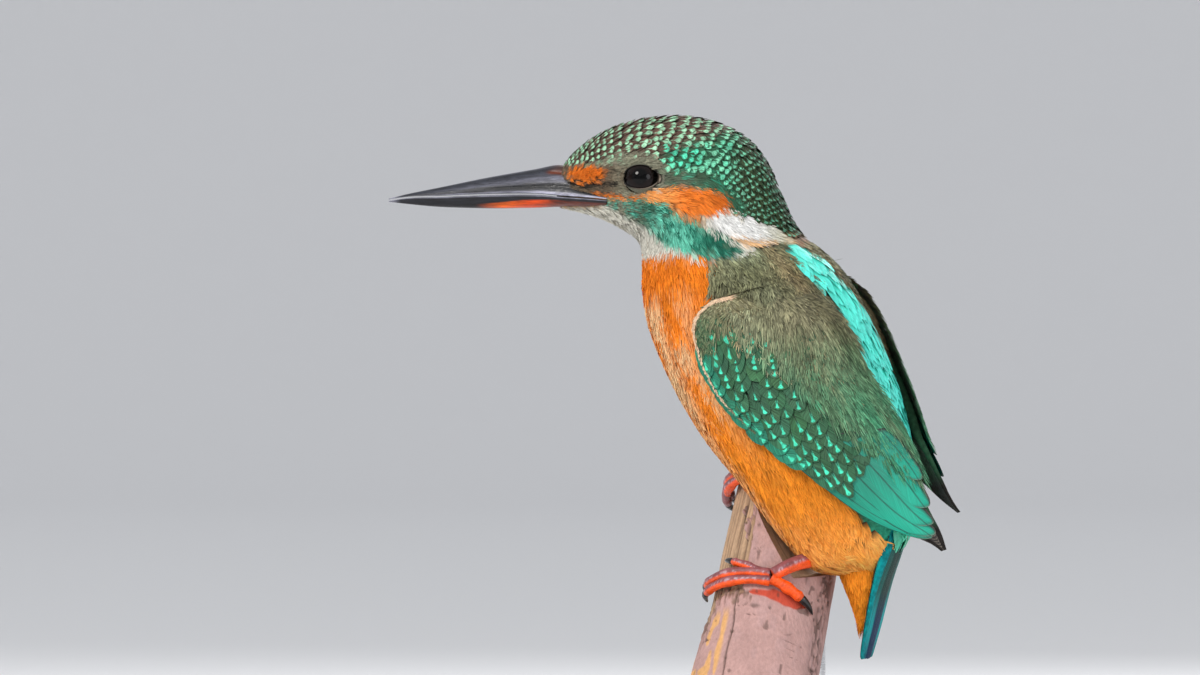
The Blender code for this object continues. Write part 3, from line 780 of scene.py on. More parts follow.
def markings(rib, angle):
    """Weights of each marking on the body, mirrored from its left side, and the place read."""
    point = body_surface(rib, -np.abs(angle))
    place = field(point[..., 0] - NECK[0], point[..., 2] - NECK[2])
    back, up = place[..., 0], place[..., 1]
    turned = np.degrees(angle)
    wavy = smooth(-up, 2, 6) * (1 - smooth(-up, 40, 50))
    waves = grain(field(rib * 3.0, angle * 10.0, 5.0), 8) - 0.5
    over_crown = up - np.interp(back, *CROWN_FLOOR)
    behind_breast = back - (np.interp(up, *MANTLE_FRONT) + 1.8 * wavy * waves)
    found = {"back": back, "up": up, "turned": np.abs(turned)}
    found["crown"] = smooth(over_crown, -0.3, 0.3) * (1 - smooth(rib, 10.2, 10.5))
    found["throat"] = smooth(up - np.interp(back, *THROAT_FLOOR), -0.4, 0.4) * (1 - found["crown"])
    found["lore"] = smooth(-back, 15.8, 17) * smooth(up - np.interp(back, *LORE_FLOOR), -0.2, 0.2)
    low_crown = found["crown"] * (1 - smooth(over_crown, 3.4, 4.8))
    found["temple"] = smooth(back, -18.5, -16) * (1 - smooth(back, -1, 3)) * low_crown
    found["malar"] = inside(place, MALAR_STRIPE, 0.5)
    found["ear"] = inside(place, EAR_PATCH, 0.5)
    found["white"] = inside(place, NECK_PATCH)
    found["loral"] = inside(place, LORAL_SPOT, 0.5)
    found["line"] = np.maximum(inside(place, LORAL_LINE, 0.2), inside(place, EYE_LINE, 0.2))
    found["gape"] = inside(place, GAPE_LINE, 0.2)
    x, y, long, high = EYE_RING
    found["rim"] = 1 - smooth(np.hypot((back - x) / long, (up - y) / high), 0.95, 1.15)
    under_nape = 1 - smooth(up - np.interp(back, *NAPE_FLOOR), -0.4, 0.4)
    found["mantle"] = smooth(behind_breast, -0.4, 0.4) * under_nape * smooth(rib, 9.0, 9.4)
    near, far = (np.interp(rib, STRIPE_EDGES[0], edge) for edge in STRIPE_EDGES[1:])
    found["stripe"] = found["mantle"] * smooth(turned - near, -2, 2) * (1 - smooth(turned - far, -2, 2))
    found["rump"] = smooth(rib, 14.6, 16.6)
    return found


def body_colours(rib, angle):
    """Ground colour, mark colour and mark strength of the body's plumage, and the markings."""
    found = markings(rib, angle)
    back, up, crown = found["back"], found["up"], found["crown"]
    mottle = grain(field(rib * 3.1, angle * 9.0, 0.0), 2)
    fine = grain(field(back * 1.9, up * 3.1, 4.0), 14)
    shown = breast_colours(rib, angle, found["turned"], mottle)

    def lay(weight, tone, light=1.0):
        nonlocal shown
        shown = layer(shown, weight, tone * np.asarray(light)[..., None])

    lay(found["throat"], paint("throat"), 1 + 0.25 * smooth(-back, 22, 32))
    lore = layer(paint("lore"), smooth(back, -29, -23), paint("brow") * 0.8)
    lay(found["lore"] * (1 - crown), lore, 0.75 + 0.5 * fine)
    top = layer(paint("crown"), side_of_crown(back, up), paint("crown_side"))
    top = layer(top, smooth(back + 0.25 * (20 - up), -4, 5), paint("crown_nape"))
    lay(crown, top, 0.8 + 0.4 * fine)
    temple = layer(paint("crown_side"), 0.6 * smooth(-back, 4, 14), paint("brow") * 0.5)
    temple = temple * (0.75 + 0.5 * mottle)[..., None]
    temple = layer(temple, 0.6 * smooth(fine, 0.5, 0.85), paint("crown_bright") * 0.6)
    lay(found["temple"] * (1 - brow(back, up)), temple)
    lay(crown * brow(back, up), paint("brow"), (0.72 + 0.5 * fine) * (1 - 0.22 * smooth(back, -23, -18)))
    lay(found["mantle"], paint("mantle"))
    # Painted light: the rump's blue-green is made lighter where it lies in shade under the wings.
    lay(found["stripe"], layer(paint("stripe"), found["rump"], paint("rump") * 1.35))
    lay(found["mantle"] * smooth(rib, 15.0, 16.5), paint("rump") * 1.35)
    cheek = smooth(up - np.interp(back, *CHEEK_FLOOR), -0.3, 0.5) * (1 - smooth(up, 13.0, 13.6))
    cheek = cheek * smooth(-back, 5.5, 8.5) * (1 - found["lore"]) * (1 - crown)
    lay(cheek, layer(paint("buff"), 0.3 + 0.6 * fine, paint("lore") * 1.2))
    lay(found["malar"], malar_colours(back, up, fine))
    warm = layer(paint("ear"), smooth(back, -9, -4), paint("ear") * (0.74, 0.62, 0.3))
    warm = layer(warm, 0.5 * smooth(-back, 12.5, 17), paint("buff"))
    # Painted light: the ear patch's front is made lighter against the shade near the eye.
    warm = warm * (1 + 0.15 * smooth(-back, 12, 16))[..., None]
    lay(found["ear"], layer(warm, 0.35 * smooth(-back, 20, 21), paint("ear")), 0.88 + 0.24 * fine)
    white = layer(paint("white"), smooth(back, 3, 11), paint("white") * (0.78, 0.76, 0.6))
    lay(found["white"], white * (1, 1, 1.04), 0.82 + 0.12 * fine)
    under = np.interp(back, *NECK_PATCH_FLOOR) + 0.9 - up
    warm_edge = np.maximum(smooth(under, 0.0, 1.0) * smooth(back, -3, 1), 0.35 * smooth(back, 9, 13))
    lay(0.85 * found["white"] * warm_edge, paint("buff") * 0.85)
    lay(found["loral"], paint("ear"))
    lay(0.9 * found["line"], paint("dark"))
    lay(found["gape"], paint("ear"))
    lay(0.6 * found["rim"], paint("lore"))
    cluster = smooth(np.abs(back + 12), 6, 3) * smooth(np.abs(up - 21.5), 3.4, 1.5)
    bright = np.maximum((0.4 + 0.35 * fine) * side_of_crown(back, up), 0.9 * cluster)
    mark = layer(paint("crown_spot"), bright, paint("crown_bright"))
    mark = layer(mark, 0.45 * smooth(back, 0, 9), paint("crown_bright") * 0.7)
    mark = mark * (1 - 0.35 * smooth(back, -4, 6))[..., None]
    strength = crown * (1 - brow(back, up)) * (0.6 + 0.6 * mottle)
    for key in ("rim", "temple", "ear"):
        strength = strength * (1 - found[key])
    strength = strength * (1 - 0.45 * smooth(back, -6, 6)) * (1 - 0.5 * smooth(back, -3, 4) * fine)
    return shown, mark, np.clip(strength, 0, 1), found


def breast_colours(rib, angle, turned, mottle):
    """Orange with whitish patches and contour feathers, yellower on the belly and fluffy at its end, which
    is painted lighter as light from below.
    """
    streaks = grain(field(rib * 2.2, angle * 12.0, 3.0), 5)
    patches = smooth(grain(field(rib * 1.5, angle * 4.6, 7.0), 9), 0.45, 0.75)
    pale = 0.85 * patches * smooth(turned, 98, 125)
    pale = pale * smooth(rib, 10.4, 11.4) * (1 - 0.8 * smooth(rib, 13.6, 15.0))
    contour = smooth(turned, 124, 142) * smooth(rib, 10.3, 11.3) * (1 - 0.5 * smooth(rib, 13.0, 15.0))
    pale = np.maximum(pale, 0.9 * contour * smooth(streaks, 0.05, 0.5))
    breast = layer(paint("breast"), smooth(rib, 12.5, 15), paint("belly") * 0.96)
    # Painted light: the belly's end, which faces down, is made lighter as light from below.
    breast = layer(breast, smooth(rib, 15.5, 17.2), paint("belly") * 1.15)
    shown = layer(breast * (0.86 + 0.3 * streaks)[..., None], pale, paint("breast_pale"))
    # Painted light from below, growing towards the belly's end.
    light_from_below = np.interp(rib, [15.4, 16.4, 17.4], [1.1, 1.25, 1.65])[..., None]
    down = layer(paint("belly"), 0.55, paint("buff")) * light_from_below
    shown = layer(shown, smooth(rib, 15.2, 17.0) * (0.35 + 0.6 * mottle), down)
    reddish = 0.7 * (1 - smooth(rib, 9.8, 11.4)) * smooth(mottle, 0.2, 0.7)
    return layer(shown, reddish, paint("breast") * (0.75, 0.6, 0.6))


def malar_colours(back, up, fine):
    """The malar stripe: greyish in front, brightest under the eye, dark green with bright streaks behind."""
    wide = grain(field(back * 0.45, up * 0.9, 2.0), 6)
    teal = layer(paint("malar"), 0.35 * smooth(wide, 0.5, 0.75), paint("lore"))
    teal = teal * (0.5 + 0.5 * wide + 0.5 * fine)[..., None] * (1 - 0.3 * smooth(back, -10, -5))[..., None]
    bright = smooth(np.abs(back + 15.0), 9.0, 2.0) * smooth(fine + 0.6 * wide, 0.45, 0.95)
    bright = np.maximum(bright, 0.5 * smooth(back, -9, -6) * smooth(fine, 0.62, 0.8))
    teal = layer(teal, bright, paint("malar_light"))
    front = layer(paint("brow") * 0.85, smooth(fine, 0.4, 0.7), paint("malar_light") * 0.8)
    return layer(teal, smooth(-back, 19, 25), front)


def side_of_crown(back, up):
    """1 behind the eye and over the ear, where the crown is greenest, falling to 0 at its top."""
    return smooth(back, -19, -13) * (1 - 0.75 * smooth(back, -2, 8)) * (1 - smooth(up - 0.3 * back, 24.5, 29))


def brow(back, up):
    """1 on the unspotted grey-brown brow before and above the eye."""
    return (1 - smooth(up - np.interp(back, *BROW_TOP), -0.8, 0.8)) * (1 - smooth(back, -17.5, -14.5))


# Feathers.


def spread(surface, root, turn, along, across, lift):
    """Points of vanes laid along a surface's first parameter. The surface's two slopes at each root turn
    the vane's own millimetres into steps of the surface's parameters, and it is read there with the lift."""
    u, v = root.T
    base = surface(u, v, 0.0)
    step = 1e-3
    du = (surface(u + step, v, 0.0) - base) / step
    dv = (surface(u, v + step, 0.0) - base) / step
    normal = unit(np.cross(du, dv))
    normal *= np.sign(dot(normal, surface(u, v, 0.5) - base))[:, None]
    run = unit(du)
    side = np.cross(normal, run)
    cosine, sine = np.cos(turn)[:, None], np.sin(turn)[:, None]
    run, side = run * cosine + side * sine, side * cosine - run * sine
    e, f, g = dot(du, du), dot(du, dv), dot(dv, dv)
    scale = e * g - f * f

    def steps(direction):
        a, b = dot(direction, du), dot(direction, dv)
        return ((g * a - f * b) / scale)[:, None], ((e * b - f * a) / scale)[:, None]

    (run_u, run_v), (side_u, side_v) = steps(run), steps(side)
    at_u = u[:, None] + along * run_u + across * side_u
    return surface(at_u, v[:, None] + along * run_v + across * side_v, lift)


def vane_form(rng, count, rows, columns, length, width, tip, ragged, low, high, drop=0.12, tilt=0.06):
    """One-piece vanes: a grid that widens from its root, ends in a rounded and slightly ragged tip,
    rises from low to high, and drops towards its two edges."""
    t = np.asarray(rows)[None, :, None]
    x = np.linspace(-1, 1, columns)[None, None, :]
    end = 1 - tip * np.abs(x) ** 2.2 + ragged * rng.uniform(-1, 1, (count, 1, columns))
    along = length[:, None, None] * t * end
    widen = 0.45 + 0.55 * np.sin(np.minimum(t / 0.6, 1) * math.pi / 2)
    half = 0.5 * np.reshape(width, (-1, 1, 1))
    across = half * x * widen * (1 - 0.22 * np.clip((t - 0.6) / 0.4, 0, 1) ** 2)
    lean = tilt * rng.choice([-1, 1], (count, 1, 1)) * x
    lift = low + (high - low) * t**0.8 - drop * t * x**2 + lean + rng.uniform(-0.05, 0.05, (count, 1, 1)) * t
    chart = field(0.5 + 0.5 * x + 0 * along, t * end).reshape(count, -1, 2)
    laid = [np.broadcast_to(part, along.shape).reshape(count, -1) for part in (along, across, lift)]
    return *laid, chart, np.ones((count, along[0].size)), grid_cells(len(rows), columns)


def tuft_form(rng, count, rows, strands, length, width, tip, ragged, low, high, curl=0.15, contrast=0.3):
    """Loose tufts: strands that leave one root, part towards their tips, bend a little and taper."""
    each = (-1, 1, 1, 1)
    t = np.asarray(rows)[None, None, :, None]
    x = np.linspace(-1, 1, strands)[None, :, None, None]
    edge = np.array([-1, 1])[None, None, None, :]
    reach = 1 - tip * np.abs(x) ** 2 + ragged * rng.uniform(-1, 0.6, (count, strands, 1, 1))
    along = np.reshape(length, each) * t * reach + 0 * edge
    x = x + rng.uniform(-0.5, 0.5, (count, strands, 1, 1)) / strands
    bend = curl * rng.uniform(-1, 1, (count, strands, 1, 1)) * t**2
    thick = 1.35 / strands * (1 - 0.86 * t**2.5)
    across = np.reshape(width, each) / 2 * (x * (0.35 + 0.65 * t**0.7) + bend + edge * thick)
    low, high = np.reshape(low, each), np.reshape(high, each)
    lift = low + (high - low) * t**0.8 - 0.08 * x**2 * t
    lift = lift + rng.uniform(-0.09, 0.09, (count, strands, 1, 1)) * t
    lift = lift + 0.05 * edge * rng.uniform(-1, 1, (count, strands, 1, 1))
    chart = field(0.5 + 0.45 * x + 0.5 * edge * thick, t * reach).reshape(count, -1, 2)
    light = 1 + contrast * rng.uniform(-1, 1, (count, strands, 1, 1)) + 0 * along
    cells = grid_cells(len(rows), 2)[None] + np.arange(strands)[:, None, None] * len(rows) * 2
    laid = [part.reshape(count, -1) for part in (along, across, lift)]
    return *laid, chart, light.reshape(count, -1), cells.reshape(-1, 4)


class Coat:
    """A coat piece being laid: joined feathers with their colours and maps."""

    def __init__(self, surface, unwrap):
        self.surface, self.unwrap = surface, unwrap
        self.parts, self.count = [], 0

    def add(self, points, quads, ground, mark, vane, bake):
        """Keeps points and their quads, with two colours and two maps for each point."""
        kept = [points.reshape(-1, 3), quads.reshape(-1, 4)]
        self.parts.append(kept + [part.reshape(-1, part.shape[-1]) for part in (ground, mark, vane, bake)])
        self.count += len(kept[0])

    def lay(self, form, root, turn, ground, mark=None, strength=None, bare=0.3, tip_light=0.12):
        """Lays feathers of a form. Their colour darkens to down over the part that others cover."""
        along, across, lift, chart, light, cells = form
        points = spread(self.surface, root, turn, along, across, lift)
        count, corners = along.shape
        t = chart[..., 1]
        shown = smooth(t, bare * 0.5, bare * 1.3)[..., None]
        shade = (light * (1 + tip_light * (t - 0.6)))[..., None]
        colours = (paint("down") * (1 - shown) + ground[:, None, :] * shown) * shade
        seed = hashed(field(np.arange(count), count, len(self.parts)).astype(np.int64), 3)
        seeds = np.repeat(seed[:, None, None], corners, axis=1)
        if mark is None:
            mark, strength = np.zeros((count, 3)), np.zeros(count)
        marks = np.repeat(np.hstack([mark, strength[:, None]])[:, None, :], corners, axis=1)
        starts = self.count + np.arange(count) * corners
        patch = self.unwrap(*root.T)[:, None, :] + (chart - (0.5, 0.0)) * PATCH
        ground = np.concatenate([np.clip(colours, 0, 1), seeds], axis=-1)
        self.add(points, cells[None] + starts[:, None, None], ground, marks, chart, patch)

    def strip(self, points, tone, x, along, number, turned):
        """Lays one large blade, with a strip of its own on the map."""
        shape = points.shape[:2]
        cells = grid_cells(*shape) + self.count
        seeds = np.full((*shape, 1), (number * 0.137) % 1)
        ground = np.concatenate([np.broadcast_to(np.clip(tone, 0, 1), (*shape, 3)), seeds], axis=-1)
        chart = field(0.5 + 0.5 * x, along)
        patch = field((number + 0.5 + 0.4 * x) / STRIPS, 0.02 + 0.96 * along)
        self.add(points, cells if turned else cells[:, ::-1], ground, np.zeros((*shape, 4)), chart, patch)

    def settle(self, name, material, slot):
        points, quads, ground, mark, vane, bake = (np.vstack(part) for part in zip(*self.parts))
        colours, maps = {"ground": ground, "mark": mark}, {"vane": vane, "OFBake": bake}
        settle(add_mesh(name, points, quads, None, [material], colours, maps), slot)


PATCH = 0.003  # size of a feather's patch on the map that its colours are kept on
STRIPS = 24  # strips side by side on the map of a piece of long feathers
TUFT_ROWS = (0, 0.4, 0.75, 1)  # places along a loose feather where it has points


def body_unwrap(rib, angle):
    """The body's skin laid flat: its angle across and its rib number up."""
    return field(0.5 + 0.96 * angle / (2 * math.pi), 0.02 + 0.96 * rib / LAST_RIB)


def wing_unwrap(row, across):
    return field(0.05 + 0.9 * across, 0.02 + 0.94 * row / WING_ROWS)


def stations(surface, span, lines, gap_along, gap_across, rng, jitter=0.12, level_with=None, stagger=0.5):
    """Roots set out by length along lines of the surface's first parameter. Each second line starts
    a stagger later, and where lines crowd only each second, fourth or eighth of them is rooted.
    With `level_with`, every line takes its steps from the line nearest to that value."""
    u = np.linspace(*span, 300)
    grid = surface(u[:, None], np.asarray(lines)[None, :], 0.0)
    middle = (u[1:] + u[:-1]) / 2
    stride = np.linalg.norm(np.diff(grid, axis=0), axis=-1) / gap_along(middle)[:, None]
    if level_with is not None:
        nearest = np.abs(np.asarray(lines) - level_with).argmin()
        stride = np.repeat(stride[:, nearest : nearest + 1], len(lines), axis=1)
    counted = np.vstack([np.zeros(len(lines)), np.cumsum(stride, axis=0)])
    beside = np.linalg.norm(np.diff(grid, axis=1), axis=-1)
    beside = np.hstack([beside, beside[:, -1:]])
    roots = []
    for j, line in enumerate(lines):
        whole = np.arange(0.25, counted[-1, j], 1.0)
        at = np.interp(whole, counted[:, j], u)
        level = np.clip(np.round(np.log2(gap_across(at) / np.interp(at, u, beside[:, j]))), 0, 3).astype(int)
        late = stagger * ((j // 2**level) % 2)
        at = np.interp(whole + late + jitter * rng.uniform(-1, 1, len(whole)), counted[:, j], u)
        gap = (lines[1] - lines[0]) * 2.0**level
        across = line + jitter * gap * rng.uniform(-1, 1, len(whole))
        keep = (j % 2**level == 0) & (at > span[0]) & (at < span[1])
        roots.append(field(at, across)[keep])
    return np.vstack(roots)


def clear_of_eyes(root, reach):
    """Each feather's length, cut short of the lids, and whether it is rooted outside them."""
    tests, step = 8, 1e-3
    base = body_surface(root[:, 0], root[:, 1])
    slope = np.linalg.norm((body_surface(root[:, 0] + step, root[:, 1]) - base) / step, axis=-1)
    rib = root[:, :1] + np.linspace(0, 1, tests + 1)[None, :] * (reach / slope)[:, None]
    found = body_surface(rib, -np.abs(root[:, 1:]))
    x, y, long, high = EYE_RING
    near = np.hypot((found[..., 0] - NECK[0] - x) / long, (found[..., 2] - NECK[2] - y) / high)
    blocked = (near < 0.9) & (np.abs(root[:, 1:]) >= 30 * DEGREE)
    first = np.where(blocked.any(axis=1), blocked.argmax(axis=1), tests) / tests
    return reach * np.maximum(first, 0.3), ~blocked[:, 0]


def under_wings(rib, angle, margin):
    """Whether a place on the body is hidden by a folded wing."""
    edges = even_rows(WING_EDGES, 80)
    row = rib - WING_START
    rear = np.interp(row, edges[:, 0], edges[:, 1]) + margin
    front = np.interp(row, edges[:, 0], edges[:, 2]) - margin
    turned = np.degrees(np.abs(angle))
    return (row > 3.0) & (row < 8.6) & (turned > rear) & (turned < front)


# Forms of the bare parts.


def limb_grid(path, radii, around):
    """Rings along a path, each at right angles to it: cosine to the side, sine to the branch's face."""
    run = unit(np.gradient(path, axis=0))
    side = unit(np.cross(run, FACE))
    top = np.cross(side, run)
    angle = circle(around)[:, None]
    ring = side[:, None] * np.cos(angle) + top[:, None] * np.sin(angle)
    return path[:, None] + np.reshape(radii, (len(path), -1, 1)) * ring


# Each toe: its angles and places along the branch at root and tip, its radius, its claw's length. The right
# foot's hind toe is hidden in the feathers, and isn't made.
TOES = {
    "inner": ((0.20, 0.72), (0.6, 3.4), 0.95, 2.6),
    "middle": ((0.10, 1.36), (0.4, 0.2), 1.15, 3.6),
    "outer": ((0.08, 1.28), (-1.2, -2.1), 1.10, 3.2),
    "hind": ((0.06, -0.44), (-0.6, -3.2), 1.25, 3.8),
}
# Each foot: its side, its angle and place on the branch, and its hip (back, up) in the trunk's frame.
FEET = (("left", -1, 0.0, -1.4, (18.5, -68.0)), ("right", 1, 0.66, 25.5, (7.0, -48.0)))
TOE_LIFT = 0.3  # between a toe and the bark


def toes_of(place):
    return {toe: row for toe, row in TOES.items() if (toe, place) != ("hind", "right")}


def leg_shells(place, side, turn, climb, hip):
    """The shank and toes of a leg and their colours. A toe's radius swells at its joints and ripples over its
    scales; it is brownish on top, with pale specks painted as highlights along a line of its scales, and
    orange along its sides and below."""
    ankle = on_branch(turn + 0.05, climb, 2.5)
    hip_point = to_world(hip[0], side * 8.0, hip[1])
    s = np.linspace(0, 1, 26)[:, None]
    around = 32
    ring = circle(around)
    shank = ankle + (hip_point - ankle) * s + np.sin(math.pi * s) * FACE
    paths = [(shank, (1.45 + 0.3 * s) * np.ones(around), -1.0)]
    t = np.linspace(0, 1, 72)
    for toe, (angles, places, radius, _) in toes_of(place).items():
        angle = turn + angles[0] + (angles[1] - angles[0]) * t
        along = climb + places[0] + (places[1] - places[0]) * t
        swell = radius * (1 + 0.10 * np.cos(t * 4 * math.pi)) * np.interp(t, [0, 0.9, 1], [1, 1, 0.66])
        scales = 1 + 0.06 * np.abs(np.sin(t * 34))[:, None] * np.clip(np.sin(ring), 0, 1)[None, :]
        pads = 1 + 0.06 * np.cos(t * 8 * math.pi)[:, None] * np.clip(-np.sin(ring), 0, 1)[None, :]
        path = on_branch(angle, along, radius * 1.08 + TOE_LIFT)
        paths.append((path, swell[:, None] * scales * pads, 0.0 if toe == "hind" else 1.0))
    made = []
    for number, (path, radii, upper) in enumerate(paths):
        t = np.linspace(0, 1, len(path))[:, None]
        height = upper * np.cos(ring)[None, :]
        grey = smooth(height, -0.55, -0.25) if upper else 0 * height
        tone = layer(paint("foot") + 0 * t[..., None], 0.92 * grey, paint("foot_grey"))
        # Painted highlights: pale specks along a line of scales on the shank and the front toes.
        scale_highlights = smooth(grain(field(t * 42, ring[None, :] * 2.4, float(number)), 21), 0.55, 0.75)
        scale_highlights = scale_highlights * np.exp(-(((height + 0.2) / 0.25) ** 2)) * abs(upper)
        tone = layer(tone, 0.55 * scale_highlights, paint("white") * (0.8, 0.66, 0.8))
        made.append((tube_shell(limb_grid(path, radii, around)), capped(tone)))
    return made


def claw_shells(place, turn, climb):
    """Claws that curve down to the bark: the radius falls to a point as the path sinks."""
    shells = []
    t = np.linspace(-0.25, 1, 26)
    ahead = np.clip(1 - t, 0, 1)
    for angles, places, radius, claw in toes_of(place).values():
        direction = 1 if angles[1] > angles[0] else -1
        slope = (places[1] - places[0]) / (angles[1] - angles[0])
        travel = direction * (TOE_LIFT + (claw + TOE_LIFT) * t) / BRANCH_RADIUS
        rise = 0.99 * radius * ahead**1.5 + 0.35 * np.sin(math.pi * np.clip(t, 0, 1))
        lift = np.minimum(rise, radius * 0.95) + 0.5
        path = on_branch(turn + angles[1] + travel, climb + places[1] + travel * slope, lift)
        radii = 0.68 * radius * ahead**0.7 * np.interp(t, [-0.25, 0], [0.8, 1]) + 0.12
        shells.append(tube_shell(limb_grid(path, radii, 14)))
    return shells


def eye_axes(side):
    """The eye's own directions: outwards, along the bill's line, and up."""
    out = unit(np.array([-0.10, side * 1.0, 0.10]))
    along = unit(np.cross(np.array([0.0, 0.0, 1.0]), out)) * side * -1
    return out, along, np.cross(out, along) * side * -1


def eye_centre(side):
    back, out, up = EYE_PLACE
    return NECK + np.array([back, side * out, up])


def eye_root(side):
    """The body's parameters at the eye: the nearest of a fine net of places."""
    rib = np.linspace(2.5, 7.5, 201)[:, None]
    angle = side * np.radians(np.linspace(60, 120, 241))[None, :]
    near = body_surface(rib, angle) - NECK
    gap = np.hypot(near[..., 0] - EYE_PLACE[0], near[..., 2] - EYE_PLACE[2])
    i, j = np.unravel_index(gap.argmin(), gap.shape)
    return np.array([[rib[i, 0], angle[0, j]]])


def branch_top(angle, radius):
    """The highest place along the branch, on a line beside its axis, before the notch cuts it."""
    axes = trunk_frame(1.0)
    start = off_axis(0.0, radius, angle)
    place = field((start - NECK) @ axes[0], (start - NECK) @ axes[2])
    climb = np.array([AXIS @ axes[0], AXIS @ axes[2]])
    corners = np.array(NOTCH)
    tops = []
    for a, b in zip(corners, corners[1:]):
        edge = unit(b - a)
        normal = np.array([-edge[1], edge[0]])
        tops.append(-((place - a) @ normal) / (climb @ normal))
    return np.clip(np.maximum(*tops) - 0.4, BRANCH_LOW + 5, BRANCH_HIGH)


# The pieces.


class KF_OT_skin(bpy.types.Operator):
    """Makes the one skin of head, trunk, wings, tail and legs, inside the coat"""

    bl_idname = "kingfisher.skin"
    bl_label = "Skin and Legs"

    def execute(self, context):
        depth = millimetres("coat_depth")
        shells, colours, bare = [], [], []

        def keep(shell, tones, is_bare=False):
            shells.append(shell)
            colours.append(np.broadcast_to(tones, (len(shell[0]), 3)))
            bare.append(is_bare)

        rib, angle = net(np.linspace(0, LAST_RIB, 210), circle(132))
        turned = (angle + math.pi) % (2 * math.pi) - math.pi
        tones, _, _, found = body_colours(rib, turned)
        keep(tube_shell(body_surface(rib, turned, -depth - SOCKET_DEPTH * found["rim"])), capped(tones))
        row, across = net(np.linspace(0.12, WING_ROWS, 90), np.linspace(0.05, 0.95, 30))
        rib = curve_rows(WING_EDGES, row)[..., 0]
        thick = np.interp(rib, [2.3, 5.0, 7.0, 8.9], [3.2, 3.2, 1.2, 0.4])
        tone = layer(paint("mantle"), smooth(row, 1.8, 3.0), paint("covert"))
        tone = layer(tone, smooth(rib, 7.4, 8.0), paint("primary")).reshape(-1, 3)
        for side, _ in SIDES:
            outer, inner = (wing_surface(side)(row, across, -depth - inset) for inset in (0, thick))
            keep(slab_shell(outer, inner), np.vstack([tone] * 2))
        place, turned = net(np.linspace(0, 0.97, 50), circle(40))
        for sections, power, tone in (
            (TAIL_SECTIONS, TAIL_POWER, "tail"), (UNDERTAIL_SECTIONS, UNDERTAIL_POWER, "breast"),
        ):
            inset = -np.minimum(0.35, 0.5 * curve_rows(sections, place * (len(sections) - 1))[..., 2])
            keep(tube_shell(plate_surface(sections, power)(place, turned, inset)), paint(tone))
        for foot in FEET:
            for shell, tone in leg_shells(*foot):
                keep(shell, tone, True)
        points, quads, tris, numbers = join(shells)
        down = [(900, 3.0, 0.6, 0.3, 0.7, 0.45, 0.85)]
        leather = [(2400, 3.0, 0.6, 0.3, 0.7, 0.85, 1.08), (420, 2.0, 0.5, 0.3, 0.7, 0.72, 1.15)]
        materials = [
            grained("down_and_skin", 0.85, down, 0.3, Specular_IOR_Level=0.2),
            grained("toe_skin", 0.42, leather, 0.12, Specular_IOR_Level=0.5),
        ]
        ground = {"ground": np.vstack(colours)}
        slots = np.array(bare, int)[numbers]
        settle(
            add_mesh("skin", points, quads, tris, materials, ground, face_material=slots),
            "breast_feathers", "head", "neck", "trunk", "undertail_coverts", "wing_left", "wing_right",
            "tail", "leg_left", "leg_right",
        )
        return {"FINISHED"}


